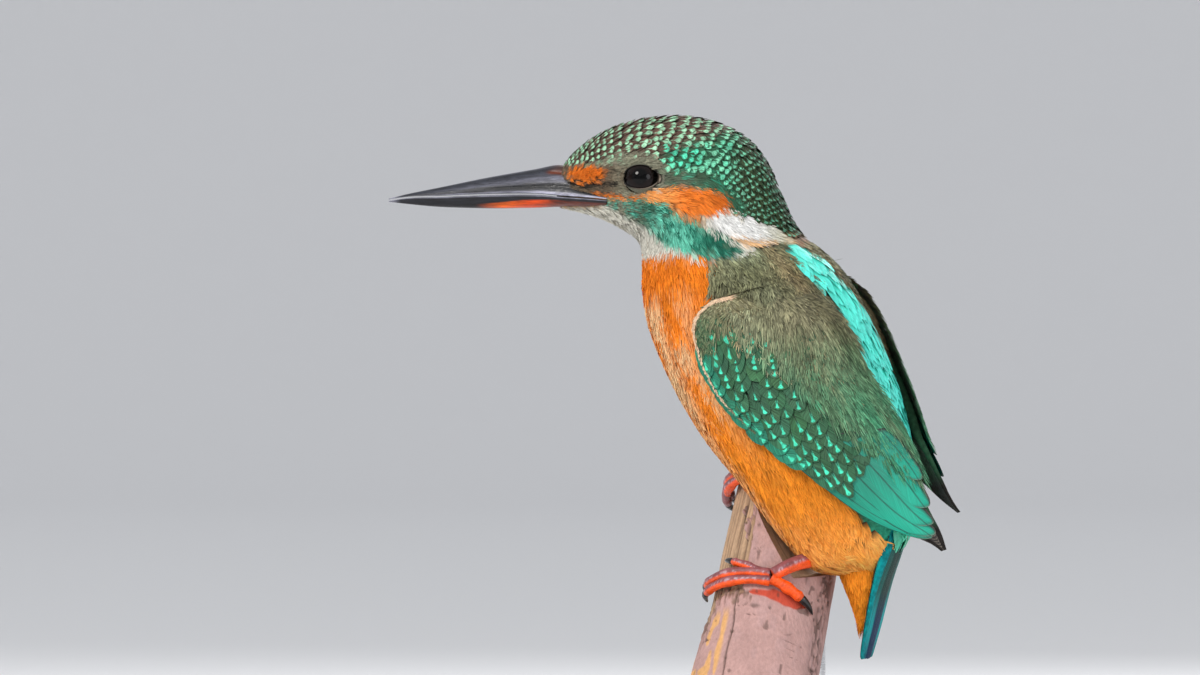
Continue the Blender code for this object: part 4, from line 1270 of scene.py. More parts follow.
class KF_OT_head(bpy.types.Operator):
    """Lays the feathers of the crown, face and throat"""

    bl_idname = "kingfisher.head"
    bl_label = "Head Feathers"

    def execute(self, context):
        rng = np.random.default_rng(11)
        coat = Coat(body_surface, body_unwrap)
        lines = np.radians(np.arange(-112, 112.1, 4.7))
        level_line = 38 * DEGREE
        along = curve([0, 2, 3, 4.5, 6, 8, 9.2, 10.5], [1.15, 1.5, 2.1, 2.6, 2.3, 1.8, 1.45, 1.4])
        across = curve([0, 2, 5, 8, 10.5], [0.75, 1.0, 1.45, 1.5, 1.35])
        root = stations(body_surface, (-0.05, 10.3), lines, along, across, rng, 0.18, level_line, 0.12)
        reach = millimetres("crown_feather") / CROWN_FEATHER * (0.8 + 1.35 * along(root[:, 0]))
        reach, outside = clear_of_eyes(root, reach)
        ground, mark, strength, found = body_colours(root[:, 0] + 0.45, root[:, 1])
        back, up = found["back"], found["up"]
        plain = np.maximum(np.maximum(brow(back, up), found["temple"]), 3 * found["ear"] + 3 * found["white"])
        chosen = outside & (found["crown"] > 0.4) & (plain < 0.75)
        root, reach, ground, mark, strength = (x[chosen] for x in (root, reach, ground, mark, strength))
        count = len(root)
        ground = ground * rng.uniform(0.78, 1.2, (count, 1))
        mark = mark * rng.uniform(0.72, 1.12, (count, 1))
        strength = strength * rng.uniform(0.6, 1.15, count)
        rows = (0, 0.35, 0.6, 0.8, 0.92, 1)
        width = 1.5 * across(root[:, 0])
        form = vane_form(rng, count, rows, 7, reach, width, 0.22, 0.1, -0.85, 0.1, 0.1, 0.06)
        coat.lay(form, root, rng.normal(0, 0.12, count), ground, mark, strength, bare=0.3)
        finish = vane_finish("crown_vanes", 0.7, 14, 0.12, 0.55, (0.82, 0.2, 0.14, 0.79), specular=0.2)
        coat.settle("crown_coat", finish, "crown_feathers")
        self.face(rng)
        return {"FINISHED"}

    def face(self, rng):
        """Fine tufts over face, throat, neck patch, brow and temple, turned with their markings."""
        coat = Coat(body_surface, body_unwrap)
        lines = np.radians(np.arange(-180, 180, 3.0))
        size = curve([0, 2, 5, 9, 11], [0.65, 0.8, 0.95, 1.1, 1.5])
        gap_along, gap_across = lambda at: 0.8 * size(at), lambda at: 0.75 * size(at)
        root = stations(body_surface, (-0.1, 10.6), lines, gap_along, gap_across, rng)
        reach = millimetres("face_feather") * size(root[:, 0]) * rng.uniform(0.85, 1.2, len(root))
        ground, _, _, found = body_colours(root[:, 0] + 0.3, root[:, 1])
        reach = reach * (1 - 0.25 * found["loral"]) * (1 + 0.35 * found["ear"] + 0.3 * found["temple"])
        reach, outside = clear_of_eyes(root, reach)
        back, up = found["back"], found["up"]
        head = sum(found[key] for key in ("throat", "lore", "ear", "white", "malar", "rim")) > 0.3
        plain = found["crown"] * np.maximum(brow(back, up), found["temple"])
        chosen = outside & (((found["crown"] < 0.6) & head & (found["mantle"] < 0.5)) | (plain > 0.3))
        fine_bars = smooth(np.sin(root[:, 0] * 26 + root[:, 1] * 3), 0.1, 0.7)
        wide_bars = smooth(np.sin(root[:, 0] * 15 - root[:, 1] * 2), 0.1, 0.8)
        ground = layer(ground, 0.4 * fine_bars * found["malar"] * smooth(-back, 12, 19), paint("lore") * 0.6)
        forehead = plain * smooth(-back, 22, 27) * smooth(up, 17, 19)
        ground = layer(ground, 0.75 * wide_bars * forehead, paint("crown_spot") * 0.95)
        turn = 0.8 * found["ear"] * smooth(back, -19.5, -15) + 0.75 * found["white"]
        turn = turn + 0.45 * found["malar"] + 0.5 * found["temple"]
        turn = -np.sign(root[:, 1]) * np.minimum(turn, 0.8)
        root, reach, ground, turn, loral = (x[chosen] for x in (root, reach, ground, turn, found["loral"]))
        count = len(root)
        ground = ground * rng.uniform(0.86, 1.14, (count, 1))
        width, high = 1.15 * size(root[:, 0]), 0.08 + 0.5 * loral
        form = tuft_form(rng, count, TUFT_ROWS, 5, reach, width, 0.3, 0.14, -0.8, high, 0.12, 0.16)
        coat.lay(form, root, turn + rng.normal(0, 0.12 + 0.35 * loral, count), ground, bare=0.12)
        finish = vane_finish("face_vanes", 0.7, 8, 0.05, 0.14, specular=0.25)
        coat.settle("face_coat", finish, "crown_feathers")


class KF_OT_body(bpy.types.Operator):
    """Lays the feathers of the breast, belly, shoulders, back stripe and rump"""

    bl_idname = "kingfisher.body"
    bl_label = "Body Feathers"

    def execute(self, context):
        rng = np.random.default_rng(23)
        self.breast(rng)
        self.mantle(rng)
        self.back(rng)
        return {"FINISHED"}

    def breast(self, rng):
        """Tufts from the throat to the belly, longer and looser towards the belly's end."""
        coat = Coat(body_surface, body_unwrap)
        lines = np.radians(np.arange(-180, 180, 3.2))
        size = curve([7, 10, 13, 18], [0.7, 0.85, 1.0, 1.15])
        gap_along, gap_across = lambda at: 1.35 * size(at), lambda at: 1.2 * size(at)
        root = stations(body_surface, (7.4, 17.9), lines, gap_along, gap_across, rng)
        ground, _, _, found = body_colours(root[:, 0] + 0.5, root[:, 1])
        covered = sum(found[key] for key in ("throat", "white", "malar", "crown", "ear")) > 0.5
        chosen = ~covered & (found["mantle"] < 0.5) & ~under_wings(root[:, 0], root[:, 1], 14)
        root, ground = root[chosen], ground[chosen]
        count = len(root)
        loose = smooth(root[:, 0], 15.6, 17.2)
        reach = millimetres("breast_feather") * size(root[:, 0])
        reach = reach * rng.uniform(0.8, 1.25, count) * (1 + 0.25 * loose)
        width = 2.2 * size(root[:, 0])
        high = 0.2 + 0.9 * loose * rng.uniform(0, 1, count)
        form = tuft_form(rng, count, TUFT_ROWS, 7, reach, width, 0.28, 0.18, -0.85, high, 0.25, 0.1)
        ground = ground * rng.uniform(0.93, 1.07, (count, 1))
        turn = rng.normal(0, 1, count) * (0.16 + 0.25 * loose)
        coat.lay(form, root, turn, ground, bare=0.03, tip_light=0.3)
        finish = vane_finish("breast_vanes", 0.8, 6, 0.04, 0.12, specular=0.15)
        coat.settle("breast_coat", finish, "breast_feathers")

    def mantle(self, rng):
        """Short soft feathers from the nape over both shoulders and the bends of the wings."""
        coat = Coat(shoulder_surface, body_unwrap)
        lines = np.radians(np.arange(-112, 112.1, 2.4))
        root = stations(shoulder_surface, (9.2, 14.2), lines, steady(0.95), steady(0.95), rng, 0.3)
        found = markings(root[:, 0] + 0.2, root[:, 1])
        turned = np.degrees(np.abs(root[:, 1]))
        limit = np.interp(turned, [20, 36, 60, 85, 97, 106, 112], [14.0, 13.6, 12.9, 12.35, 12.1, 11.7, 11.4])
        limit = limit + rng.uniform(-0.25, 0.25, len(root))
        root = root[(found["mantle"] > 0.5) & (found["stripe"] < 0.4) & (root[:, 0] < limit)]
        rib, angle = root.T
        count = len(root)
        reach = millimetres("mantle_feather") * rng.uniform(0.5, 0.8, count)
        light = grain(field(rib * 2.5, angle * 14, 1.0), 4)
        warm = grain(field(rib * 1.2, angle * 5, 6.0), 8)[:, None] - 0.5
        bend = smooth(rib, 11.3, 11.9) * smooth(np.degrees(np.abs(angle)), 62, 85)
        olive, pale = paint("mantle"), paint("mantle_light")
        ground = olive + (pale - olive) * (0.12 + 0.5 * light + 0.5 * bend)[:, None]
        ground = ground * (1 + 0.4 * (warm * np.array([1.0, 0.0, -0.3])))
        ground = ground * (1 + 0.45 * (1 - smooth(rib, 10.6, 11.6)) + 0.4 * bend)[:, None]
        ground = ground * rng.uniform(0.7, 1.3, (count, 1))
        form = tuft_form(rng, count, TUFT_ROWS, 5, reach, 1.4, 0.3, 0.2, -0.7, 0.4, 0.6, 0.55)
        coat.lay(form, root, rng.normal(0, 0.3, count), ground, bare=0.12)
        finish = vane_finish("mantle_vanes", 0.7, 6, 0.05, 0.2, specular=0.25)
        coat.settle("mantle_coat", finish, "wing_feathers")

    def back(self, rng):
        """Glossy vanes down the back stripe and over the rump."""
        coat = Coat(body_surface, body_unwrap)
        lines = np.radians(np.arange(-70, 70.1, 4.0))
        root = stations(body_surface, (9.6, 17.8), lines, steady(2.3), steady(1.7), rng, 0.2)
        ground, _, _, found = body_colours(root[:, 0] + 0.4, root[:, 1])
        behind = (root[:, 0] > 13.0) & (found["mantle"] > 0.4)
        open_air = ~under_wings(root[:, 0], root[:, 1], 12) & (found["white"] < 0.05)
        chosen = ((found["stripe"] > 0.4) | behind) & open_air
        root, ground = root[chosen], ground[chosen]
        count = len(root)
        reach = millimetres("back_feather") * rng.uniform(0.85, 1.2, count)
        reach = reach * np.interp(root[:, 0], [9.6, 11], [0.8, 1.1])
        ground = ground * rng.uniform(0.85, 1.12, (count, 1))
        rows = (0, 0.3, 0.55, 0.75, 0.9, 1)
        form = vane_form(rng, count, rows, 7, reach, 2.8, 0.3, 0.1, -0.8, 0.6, 0.2, 0.12)
        coat.lay(form, root, rng.normal(0, 0.1, count), ground, bare=0.15, tip_light=0.2)
        finish = vane_finish("back_vanes", 0.4, 30, 0.08, 0.22, specular=0.35)
        coat.settle("back_coat", finish, "tail_feathers")


# Flight feathers of a wing: row and share at the root and at the tip, and width in millimetres.
OUTER_FEATHERS = [
    ((3.7 + 0.2 * k, 0.985 - 0.03 * k), (7.98 - 0.16 * k, 0.66 - 0.02 * k), 4.2) for k in range(8)
]
INNER_TIPS = ((7.2, 0.93), (7.22, 0.84), (7.12, 0.70), (6.7, 0.45), (6.1, 0.22), (5.4, 0.10))
INNER_WIDTHS = (4.5, 5.0, 7.5, 8.0, 8.0, 7.0)
INNER_FEATHERS = [
    ((4.1, 0.94 - 0.15 * k), tip, width) for k, (tip, width) in enumerate(zip(INNER_TIPS, INNER_WIDTHS))
]


class KF_OT_wings(bpy.types.Operator):
    """Lays both folded wings: outer and inner flight feathers, coverts and shoulder feathers"""

    bl_idname = "kingfisher.wings"
    bl_label = "Wings"

    def execute(self, context):
        flight = vane_finish("flight_vanes", 0.45, 46, 0.10, 0.14, shaft=0.6, rim=0.75, specular=0.35)
        drop = (0.26, 0.12, 0.04, 0.9)
        covert = vane_finish("covert_vanes", 0.6, 26, 0.10, 0.45, drop, shaft=0.75, specular=0.25)
        loose = vane_finish("scapular_vanes", 0.65, 6, 0.05, 0.2, specular=0.25)
        for side, place in SIDES:
            rng = np.random.default_rng(31)
            self.flight(side, place, flight)
            for lay, material in ((self.coverts, covert), (self.scapulars, loose), (self.rim, loose)):
                lay(rng, side, place, material)
        return {"FINISHED"}

    def flight(self, side, place, material):
        """Long blades: the outer ones dark with a bright front edge, the inner ones bright with a dark rear
        web. Each lies a little higher than the one before."""
        coat = Coat(wing_surface(side), wing_unwrap)
        for feathers, low, high in ((OUTER_FEATHERS, -1.0, -0.5), (INNER_FEATHERS, -0.45, 0.55)):
            inner = feathers is INNER_FEATHERS
            for k, feather in enumerate(feathers):
                level = low + (high - low) * k / (len(feathers) - 1)
                self.blade(coat, side, *feather, level, inner, k + inner * len(OUTER_FEATHERS))
        coat.settle("flight_feathers_" + place, material, "wing_feathers")

    def blade(self, coat, side, root, tip, width, level, inner, number):
        """A blade from its root to its tip, in rows and shares, with its width in millimetres."""
        root, tip = np.array(root), np.array(tip)
        dark, bright = paint("primary"), paint("wing_bright")
        x = np.linspace(-1, 1, 13)[None, :]
        t = np.linspace(0, 1, 40)[:, None]
        at = t * (1 - 0.06 * np.abs(x + 0.1) ** 2.4)
        centre = root + (tip - root) * at[..., None]
        row, across = centre[..., 0], centre[..., 1]
        step = 1e-3
        beside = np.linalg.norm(coat.surface(row, across + step) - coat.surface(row, across), axis=-1) / step
        half = 0.5 * width * np.interp(t, [0, 0.3, 0.82, 0.94, 1], [0.5, 1, 0.97, 0.86, 0.66])
        lift = level - 0.30 * x**2 - 0.10 * x + 0.10 * t
        points = coat.surface(row, across + half * x / np.maximum(beside, 6.0), lift)
        web = smooth(x, -0.8, -0.55) if inner else smooth(x, 0.25, 0.5) * (1 - smooth(t, 0.7, 0.85))
        web = web * (1 - smooth(t, 0.93, 0.99) * 0.5)
        share = web * (0.6 + 0.4 * smooth(t, 0.25, 0.8))
        tone = layer(dark, share, bright if inner else layer(dark, 0.3, bright))
        worn = (smooth(np.abs(x), 0.86, 0.97) * smooth(t, 0.75, 0.92) + smooth(t, 0.975, 1.0)) * (1 - web)
        tone = layer(tone, worn, paint("primary_edge"))
        tone = layer(paint("down"), smooth(t, 0.0, 0.1), tone)
        coat.strip(points, tone, x + 0 * at, at, number, side > 0)

    def coverts(self, rng, side, place, material):
        """Rounded feathers in rows, each with a bright drop near its tip on the front half of the wing."""
        coat = Coat(wing_surface(side), wing_unwrap)
        lines = np.linspace(0.03, 0.96, 9)
        size = curve([0, 1, 2, 3, 4, 5.5], [0.5, 0.7, 0.88, 1.0, 1.1, 1.25])
        root = stations(coat.surface, (0.4, 5.6), lines, lambda at: 2.75 * size(at), steady(0.1), rng, 0.14)
        row, across = root.T
        limit = np.interp(across, [0, 0.3, 0.45, 0.6, 0.75, 0.85, 1.0], [3.9, 4.1, 4.4, 4.65, 4.75, 4.7, 4.4])
        front = np.interp(row, [0.4, 1.6, 2.4], [0.85, 0.9, 0.99])
        start = np.interp(across, [0, 0.6, 0.85], [1.6, 1.3, 0.4])
        root = root[(row < limit) & (across < front) & (row > start)]
        row, across = root.T
        count = len(root)
        reach = millimetres("covert_feather") * size(row) * rng.uniform(0.98, 1.12, count)
        ahead = row + 0.35
        ground = paint("covert") * (1 + 0.35 * (rng.uniform(0, 1, (count, 3)) - 0.5) * (1.0, 0.4, 0.6))
        teal = 0.45 * smooth(across, 0.80, 0.97) * smooth(row, 1.0, 2.5) + 0.4 * smooth(ahead, 5.0, 5.8)
        ground = layer(ground, teal, paint("wing_bright") * 0.8) * rng.uniform(0.8, 1.15, (count, 1))
        mark = np.tile(paint("covert_spot"), (count, 1)) * rng.uniform(0.8, 1.1, (count, 1))
        strength = smooth(across, 0.40, 0.52) * (1 - smooth(ahead, 5.6, 5.9)) * smooth(row, 0.9, 1.6)
        strength = strength * (rng.uniform(0, 1, count) > 0.06) * rng.uniform(0.55, 1.0, count)
        rows = (0, 0.3, 0.5, 0.7, 0.85, 0.94, 1)
        form = vane_form(rng, count, rows, 7, reach, 0.66 * reach, 0.2, 0.035, -0.5, 0.35, 0.12, 0.05)
        turn = side * 0.45 * smooth(across, 0.98, 0.72) * smooth(row, 1.0, 2.0)
        coat.lay(form, root, turn + rng.normal(0, 0.06, count), ground, mark, strength, bare=0.2)
        coat.settle("coverts_" + place, material, "wing_feathers")

    def scapulars(self, rng, side, place, material):
        """Fine loose streaks over the rear half of the wing, olive above and greener below."""
        coat = Coat(wing_surface(side), wing_unwrap)
        lines = np.linspace(-0.04, 0.86, 64)
        root = stations(coat.surface, (1.0, 5.0), lines, steady(1.15), steady(1.0), rng, 0.3)
        row, across = root.T
        limit = np.interp(across, [0, 0.25, 0.4, 0.5, 0.65, 0.86], [4.9, 4.5, 3.6, 2.5, 1.9, 1.5])
        root = root[row < limit + rng.uniform(-0.4, 0.4, len(row))]
        row, across = root.T
        count = len(root)
        reach = millimetres("mantle_feather") * np.interp(row, [1, 2, 3, 5], [0.45, 0.75, 1.1, 1.5])
        reach = reach * rng.uniform(0.8, 1.25, count)
        light = grain(field(row * 1.3, across * 16, side * 2.0), 4)
        ground = layer(paint("mantle"), 0.05 + 0.75 * light, paint("mantle_light"))
        green = smooth(row, 1.6, 3.6) * (0.35 + 0.65 * grain(field(row * 0.8, across * 22, 9.0), 5))
        ground = layer(ground, 0.75 * green, paint("wing_bright") * (0.72, 0.8, 0.62))
        front = (smooth(across, 0.25, 0.75) * (1 - smooth(row, 2.2, 3.2)))[:, None]
        rear = ((1 - smooth(across, 0.1, 0.35)) * (1 - smooth(row, 1.4, 2.4)))[:, None]
        ground = ground * (1 + front * (0.35, 0.55, 0.6)) * (1 - 0.25 * rear)
        ground = ground * rng.uniform(0.72, 1.22, (count, 1))
        form = tuft_form(rng, count, (0, 0.35, 0.7, 1), 5, reach, 1.5, 0.3, 0.2, -0.2, 0.62, 0.3, 0.5)
        turn = side * 0.35 * smooth(across, 0.1, 0.4)
        coat.lay(form, root, turn + rng.normal(0, 0.14, count), ground, bare=0.12)
        coat.settle("scapulars_" + place, material, "wing_feathers")

    def rim(self, rng, side, place, material):
        """Tiny buff feathers down the wing's front edge from its bend, and olive ones behind them."""
        coat = Coat(wing_surface(side), wing_unwrap)
        path = np.array([(3.9, 0.985), (2.0, 0.98), (1.0, 0.975), (0.5, 0.965), (0.2, 0.91), (0.18, 0.875)])
        at = np.tile(np.linspace(0.8, len(path) - 1.9, 90), 8)
        root = curve_rows(path, at) - field(-rng.uniform(0, 0.15, len(at)), rng.uniform(0.01, 0.12, len(at)))
        count = len(root)
        reach = 2.2 * rng.uniform(0.7, 1.2, count)
        teal = smooth(root[:, 0], 1.0, 1.8) * rng.uniform(0.3, 1, count)
        ground = layer(paint("mantle"), rng.uniform(0, 0.8, count), paint("mantle_light"))
        ground = layer(ground, teal, paint("covert")) * rng.uniform(1.05, 1.5, (count, 1))
        form = tuft_form(rng, count, (0, 0.5, 1), 3, reach, 0.9, 0.3, 0.2, -0.1, 0.45, 0.3, 0.4)
        coat.lay(form, root, rng.normal(0, 0.3, count), ground, bare=0.05)
        at = np.tile(np.linspace(0, len(path) - 1, 150), 3)
        root = curve_rows(path, at) + rng.normal(0, 1, (len(at), 2)) * (0.02, 0.003)
        count = len(root)
        reach = 1.5 * rng.uniform(0.7, 1.1, count) * np.interp(at, [0, 1, 3, 5], [0.8, 1, 0.8, 0.4])
        ground = layer(paint("buff"), 0.4, paint("white")) * rng.uniform(0.85, 1.1, (count, 1))
        ground = layer(ground, 0.9 * smooth(at, 3.9, 4.9), paint("mantle_light"))
        ground = layer(ground, 0.9 * smooth(-at, -0.5, -0.05), paint("covert"))
        high = np.interp(at, [0, 1, 2, 5], [0.35, 0.6, 0.7, 0.6])
        form = tuft_form(rng, count, (0, 0.5, 1), 3, reach, 0.4, 0.3, 0.2, high - 0.3, high, 0.2, 0.2)
        coat.lay(form, root, rng.normal(0, 0.1, count), ground, bare=0.05)
        coat.settle("wing_rim_" + place, material, "wing_feathers")



class KF_OT_tail(bpy.types.Operator):
    """Lays the tail feathers and the coverts over and under their bases"""

    bl_idname = "kingfisher.tail"
    bl_label = "Tail"

    def execute(self, context):
        rng = np.random.default_rng(41)
        coat = Coat(plate_surface(TAIL_SECTIONS, TAIL_POWER), body_unwrap)
        for number in range(12):
            self.blade(coat, number < 6, (number % 6 - 2.5) / 2.5, number)
        finish = vane_finish("tail_vanes", 0.6, 40, 0.10, 0.3, shaft=0.8, rim=0.8, specular=0.15)
        coat.settle("tail_coat", finish, "tail_feathers")
        self.coverts(rng)
        return {"FINISHED"}

    def blade(self, coat, above, offset, number):
        """A tail feather: it runs down one face of the tail's plate, its middle at a share of the width."""
        x = np.linspace(-1, 1, 13)[None, :]
        t = np.linspace(0.12, 1.0, 34)[:, None]
        end = 1 - 0.035 * np.abs(x) ** 2.2 - 0.03 * abs(offset)
        place = t * end
        middle = 0.74 * offset * np.interp(t, [0.12, 0.8, 1], [0.8, 1, 0.92])
        across = middle + 0.27 * x * np.interp(t, [0.12, 0.5, 0.93, 1], [0.7, 1, 0.9, 0.62])
        turn = np.arcsin(np.clip(np.sign(across) * np.abs(across) ** 1.3, -0.98, 0.98))
        stack = 2.5 * (1 - abs(offset)) if above else 2.5 * abs(offset)
        lift = -0.32 + 0.12 * stack - 0.12 * x**2 + 0.03 * x
        points = coat.surface(place, turn if above else math.pi - turn, lift)
        # Painted shade: the middle feathers are navy as feathers in shade, the outer ones teal.
        outer = smooth(x * (1 if offset >= 0 else -1), -0.9, -0.5) * smooth(abs(offset), 0.2, 0.7) + 0 * t
        tone = layer(np.broadcast_to(paint("tail_dark"), (*outer.shape, 3)), outer, paint("tail"))
        tone = layer(tone, 0.85 * smooth(t, 0.62, 0.95), paint("tail_dark"))
        tone = layer(tone, 0.8 * smooth(t, 0.6, 0.4), paint("covert") * 0.45)
        coat.strip(points, tone, x + 0 * place, place, number, above)

    def coverts(self, rng):
        """Orange tufts round the form under the tail's base, painted a little lighter as light from below."""
        surface = plate_surface(UNDERTAIL_SECTIONS, UNDERTAIL_POWER)
        coat = Coat(surface, lambda u, v: field(0.5 + 0.15 * v, 0.05 + 0.9 * u))
        lines = np.radians(np.arange(0, 360, 10.0))
        root = stations(surface, (0.0, 0.88), lines, steady(1.4), steady(1.1), rng, 0.25)
        count = len(root)
        reach = 5.2 * rng.uniform(0.8, 1.15, count) * np.interp(root[:, 0], [0, 0.88], [1.1, 0.7])
        # Painted light: the belly's colour made lighter, as light from below on the shaded underside.
        ground = paint("belly") * 1.1 * rng.uniform(0.88, 1.1, (count, 1))
        form = tuft_form(rng, count, TUFT_ROWS, 7, reach, 1.9, 0.3, 0.2, -0.4, 0.2, 0.2, 0.12)
        coat.lay(form, root, rng.normal(0, 0.12, count), ground, bare=0.12, tip_light=0.3)
        coat.settle("undertail_coat", bpy.data.materials["breast_vanes"], "breast_feathers")


class KF_OT_bill(bpy.types.Operator):
    """Makes the two halves of the bill, with its ridge, edges and nostrils"""

    bl_idname = "kingfisher.bill"
    bl_label = "Bill"

    def execute(self, context):
        rows = even_rows(BILL_SECTIONS, 170)
        place, ridge, gape, keel, half = rows.T[:, :, None]
        arch = np.linspace(0, math.pi, 61)[None, :]
        slit = 0.3
        low = np.minimum(arch, math.pi - arch)
        across = np.linspace(-1, 1, 14)[1:-1][None, :]
        edge = np.tile(paint("horn"), (len(rows), across.shape[1], 1))
        streaks = [((110, 1500, 1500), 4.0, 0.65, 0.3, 0.72, 0.6, 1.5)]
        streaks += [((500, 4200, 4200), 2.0, 0.6, 0.3, 0.7, -0.12, 0.12)]
        for name, slot, node in (
            ("bill_top", "bill_horn", "bill_upper"), ("bill_bottom", "bill_lower_horn", "bill_lower"),
        ):
            upper = name == "bill_top"
            side = half * rounded(np.cos(arch), 2.0 if upper else 2.2)
            if upper:
                height = gape + slit / 2 + (ridge - gape) * (0.86 * np.sin(arch) + 0.14 * np.sin(arch) ** 6)
                groove = np.exp(-(((low - 0.34) / 0.1) ** 2)) * smooth(place, -60, -44)
                side = side * (1 - 0.05 * groove + 0.03 * np.exp(-((low / 0.12) ** 2)))
            else:
                height = gape - slit / 2 - (gape - keel) * np.sin(arch) ** 0.8
            grid = NECK + field(place, side, height)
            under = NECK + field(place, half * across * 0.97, gape + (slit / 2 if upper else -slit / 2))
            tones = (self.top_tones if upper else self.low_tones)(place + 0 * arch, low + 0 * place)
            if upper:
                grid, hole = self.nostrils(grid, place, low)
                # Painted shade: the nostril slit is painted dark red, as shade inside it.
                tones = layer(tones, hole, paint("horn_red") * (0.13, 0.15, 2.0))
            tones = capped(np.concatenate([tones, edge], axis=1))
            rough = 0.34 if upper else 0.46
            worn = (rough - 0.08, rough + 0.14)
            finish = grained("horn_" + name, rough, streaks, 0.1, None, worn, "ADD", Specular_IOR_Level=0.35)
            shell = tube_shell(np.concatenate([grid, under], axis=1))
            piece = add_mesh(name, *shell, [finish], {"ground": tones})
            settle(piece, slot, node)
        return {"FINISHED"}

    def top_tones(self, place, low):
        """Dark horn with a painted silvery sheen along the flank and the ridge, and a black band over a
        pale cutting edge.
        """
        horn, light = paint("horn"), paint("horn_light")
        # Painted highlight: silvery sheen on the ridge and in a band along the flank.
        tone = layer(horn, 0.25 * smooth(low, 1.25, 1.5), light)
        band = np.exp(-(((low - 0.68) / 0.2) ** 2))
        tone = layer(tone, 0.3 * band * smooth(place, -72, -52), light)
        tone = layer(tone, 0.35 * band * smooth(place, -50, -36), light * 1.2)
        black = np.exp(-(((low - 0.34) / 0.15) ** 4)) * smooth(place, -68, -50)
        tone = layer(tone, 0.95 * black, horn * 0.18)
        tone = layer(tone, smooth(low, 0.16, 0.08) * (0.35 + 0.6 * smooth(place, -50, -40)), light * 1.5)
        warm = smooth(place, -42, -36.5) * smooth(low, 0.8, 1.05)
        tone = layer(tone, 0.6 * warm, paint("horn_red") * (0.16, 0.28, 4.0))
        return layer(tone, 0.7 * smooth(-place, 73.5, 76.5), light * 1.1)

    def low_tones(self, place, low):
        """Black horn with an orange stripe along the lower flank, dark red behind."""
        red, light = paint("horn_red"), paint("horn_light")
        tone = layer(paint("horn") * 0.4, smooth(low, 0.10, 0.04) * 0.6, light)
        upper_edge = np.interp(place, [-57, -47, -40], [0.6, 0.28, 0.22])
        under = smooth(low, 1.25, 1.4) * smooth(-place, 46, 52)
        stripe = smooth(low - upper_edge, 0.0, 0.16) * (1 - 0.8 * under)
        shown = smooth(place, -58, -51) * (1 - smooth(place, -43, -37)) * stripe
        tone = layer(tone, shown, layer(red, smooth(place, -52, -45), red * (0.72, 0.45, 1.0)))
        tone = layer(tone, 0.9 * smooth(place, -45, -38.5) * stripe, red * (0.14, 0.12, 1.5))
        return layer(tone, 0.6 * smooth(-place, 74, 76.5), light)

    def nostrils(self, grid, place, low):
        """A slit sunk into each side of the upper half, near its root."""
        along = (place + 39.6) / 2.0
        slant = (low - 0.98) / 0.13 + 0.4 * along
        hole = np.exp(-(along**4) - slant**2 * 1.4)
        centre = grid.mean(axis=1, keepdims=True)
        return grid + (centre - grid) * (0.14 * hole)[..., None], np.clip(hole * 1.2, 0, 1)


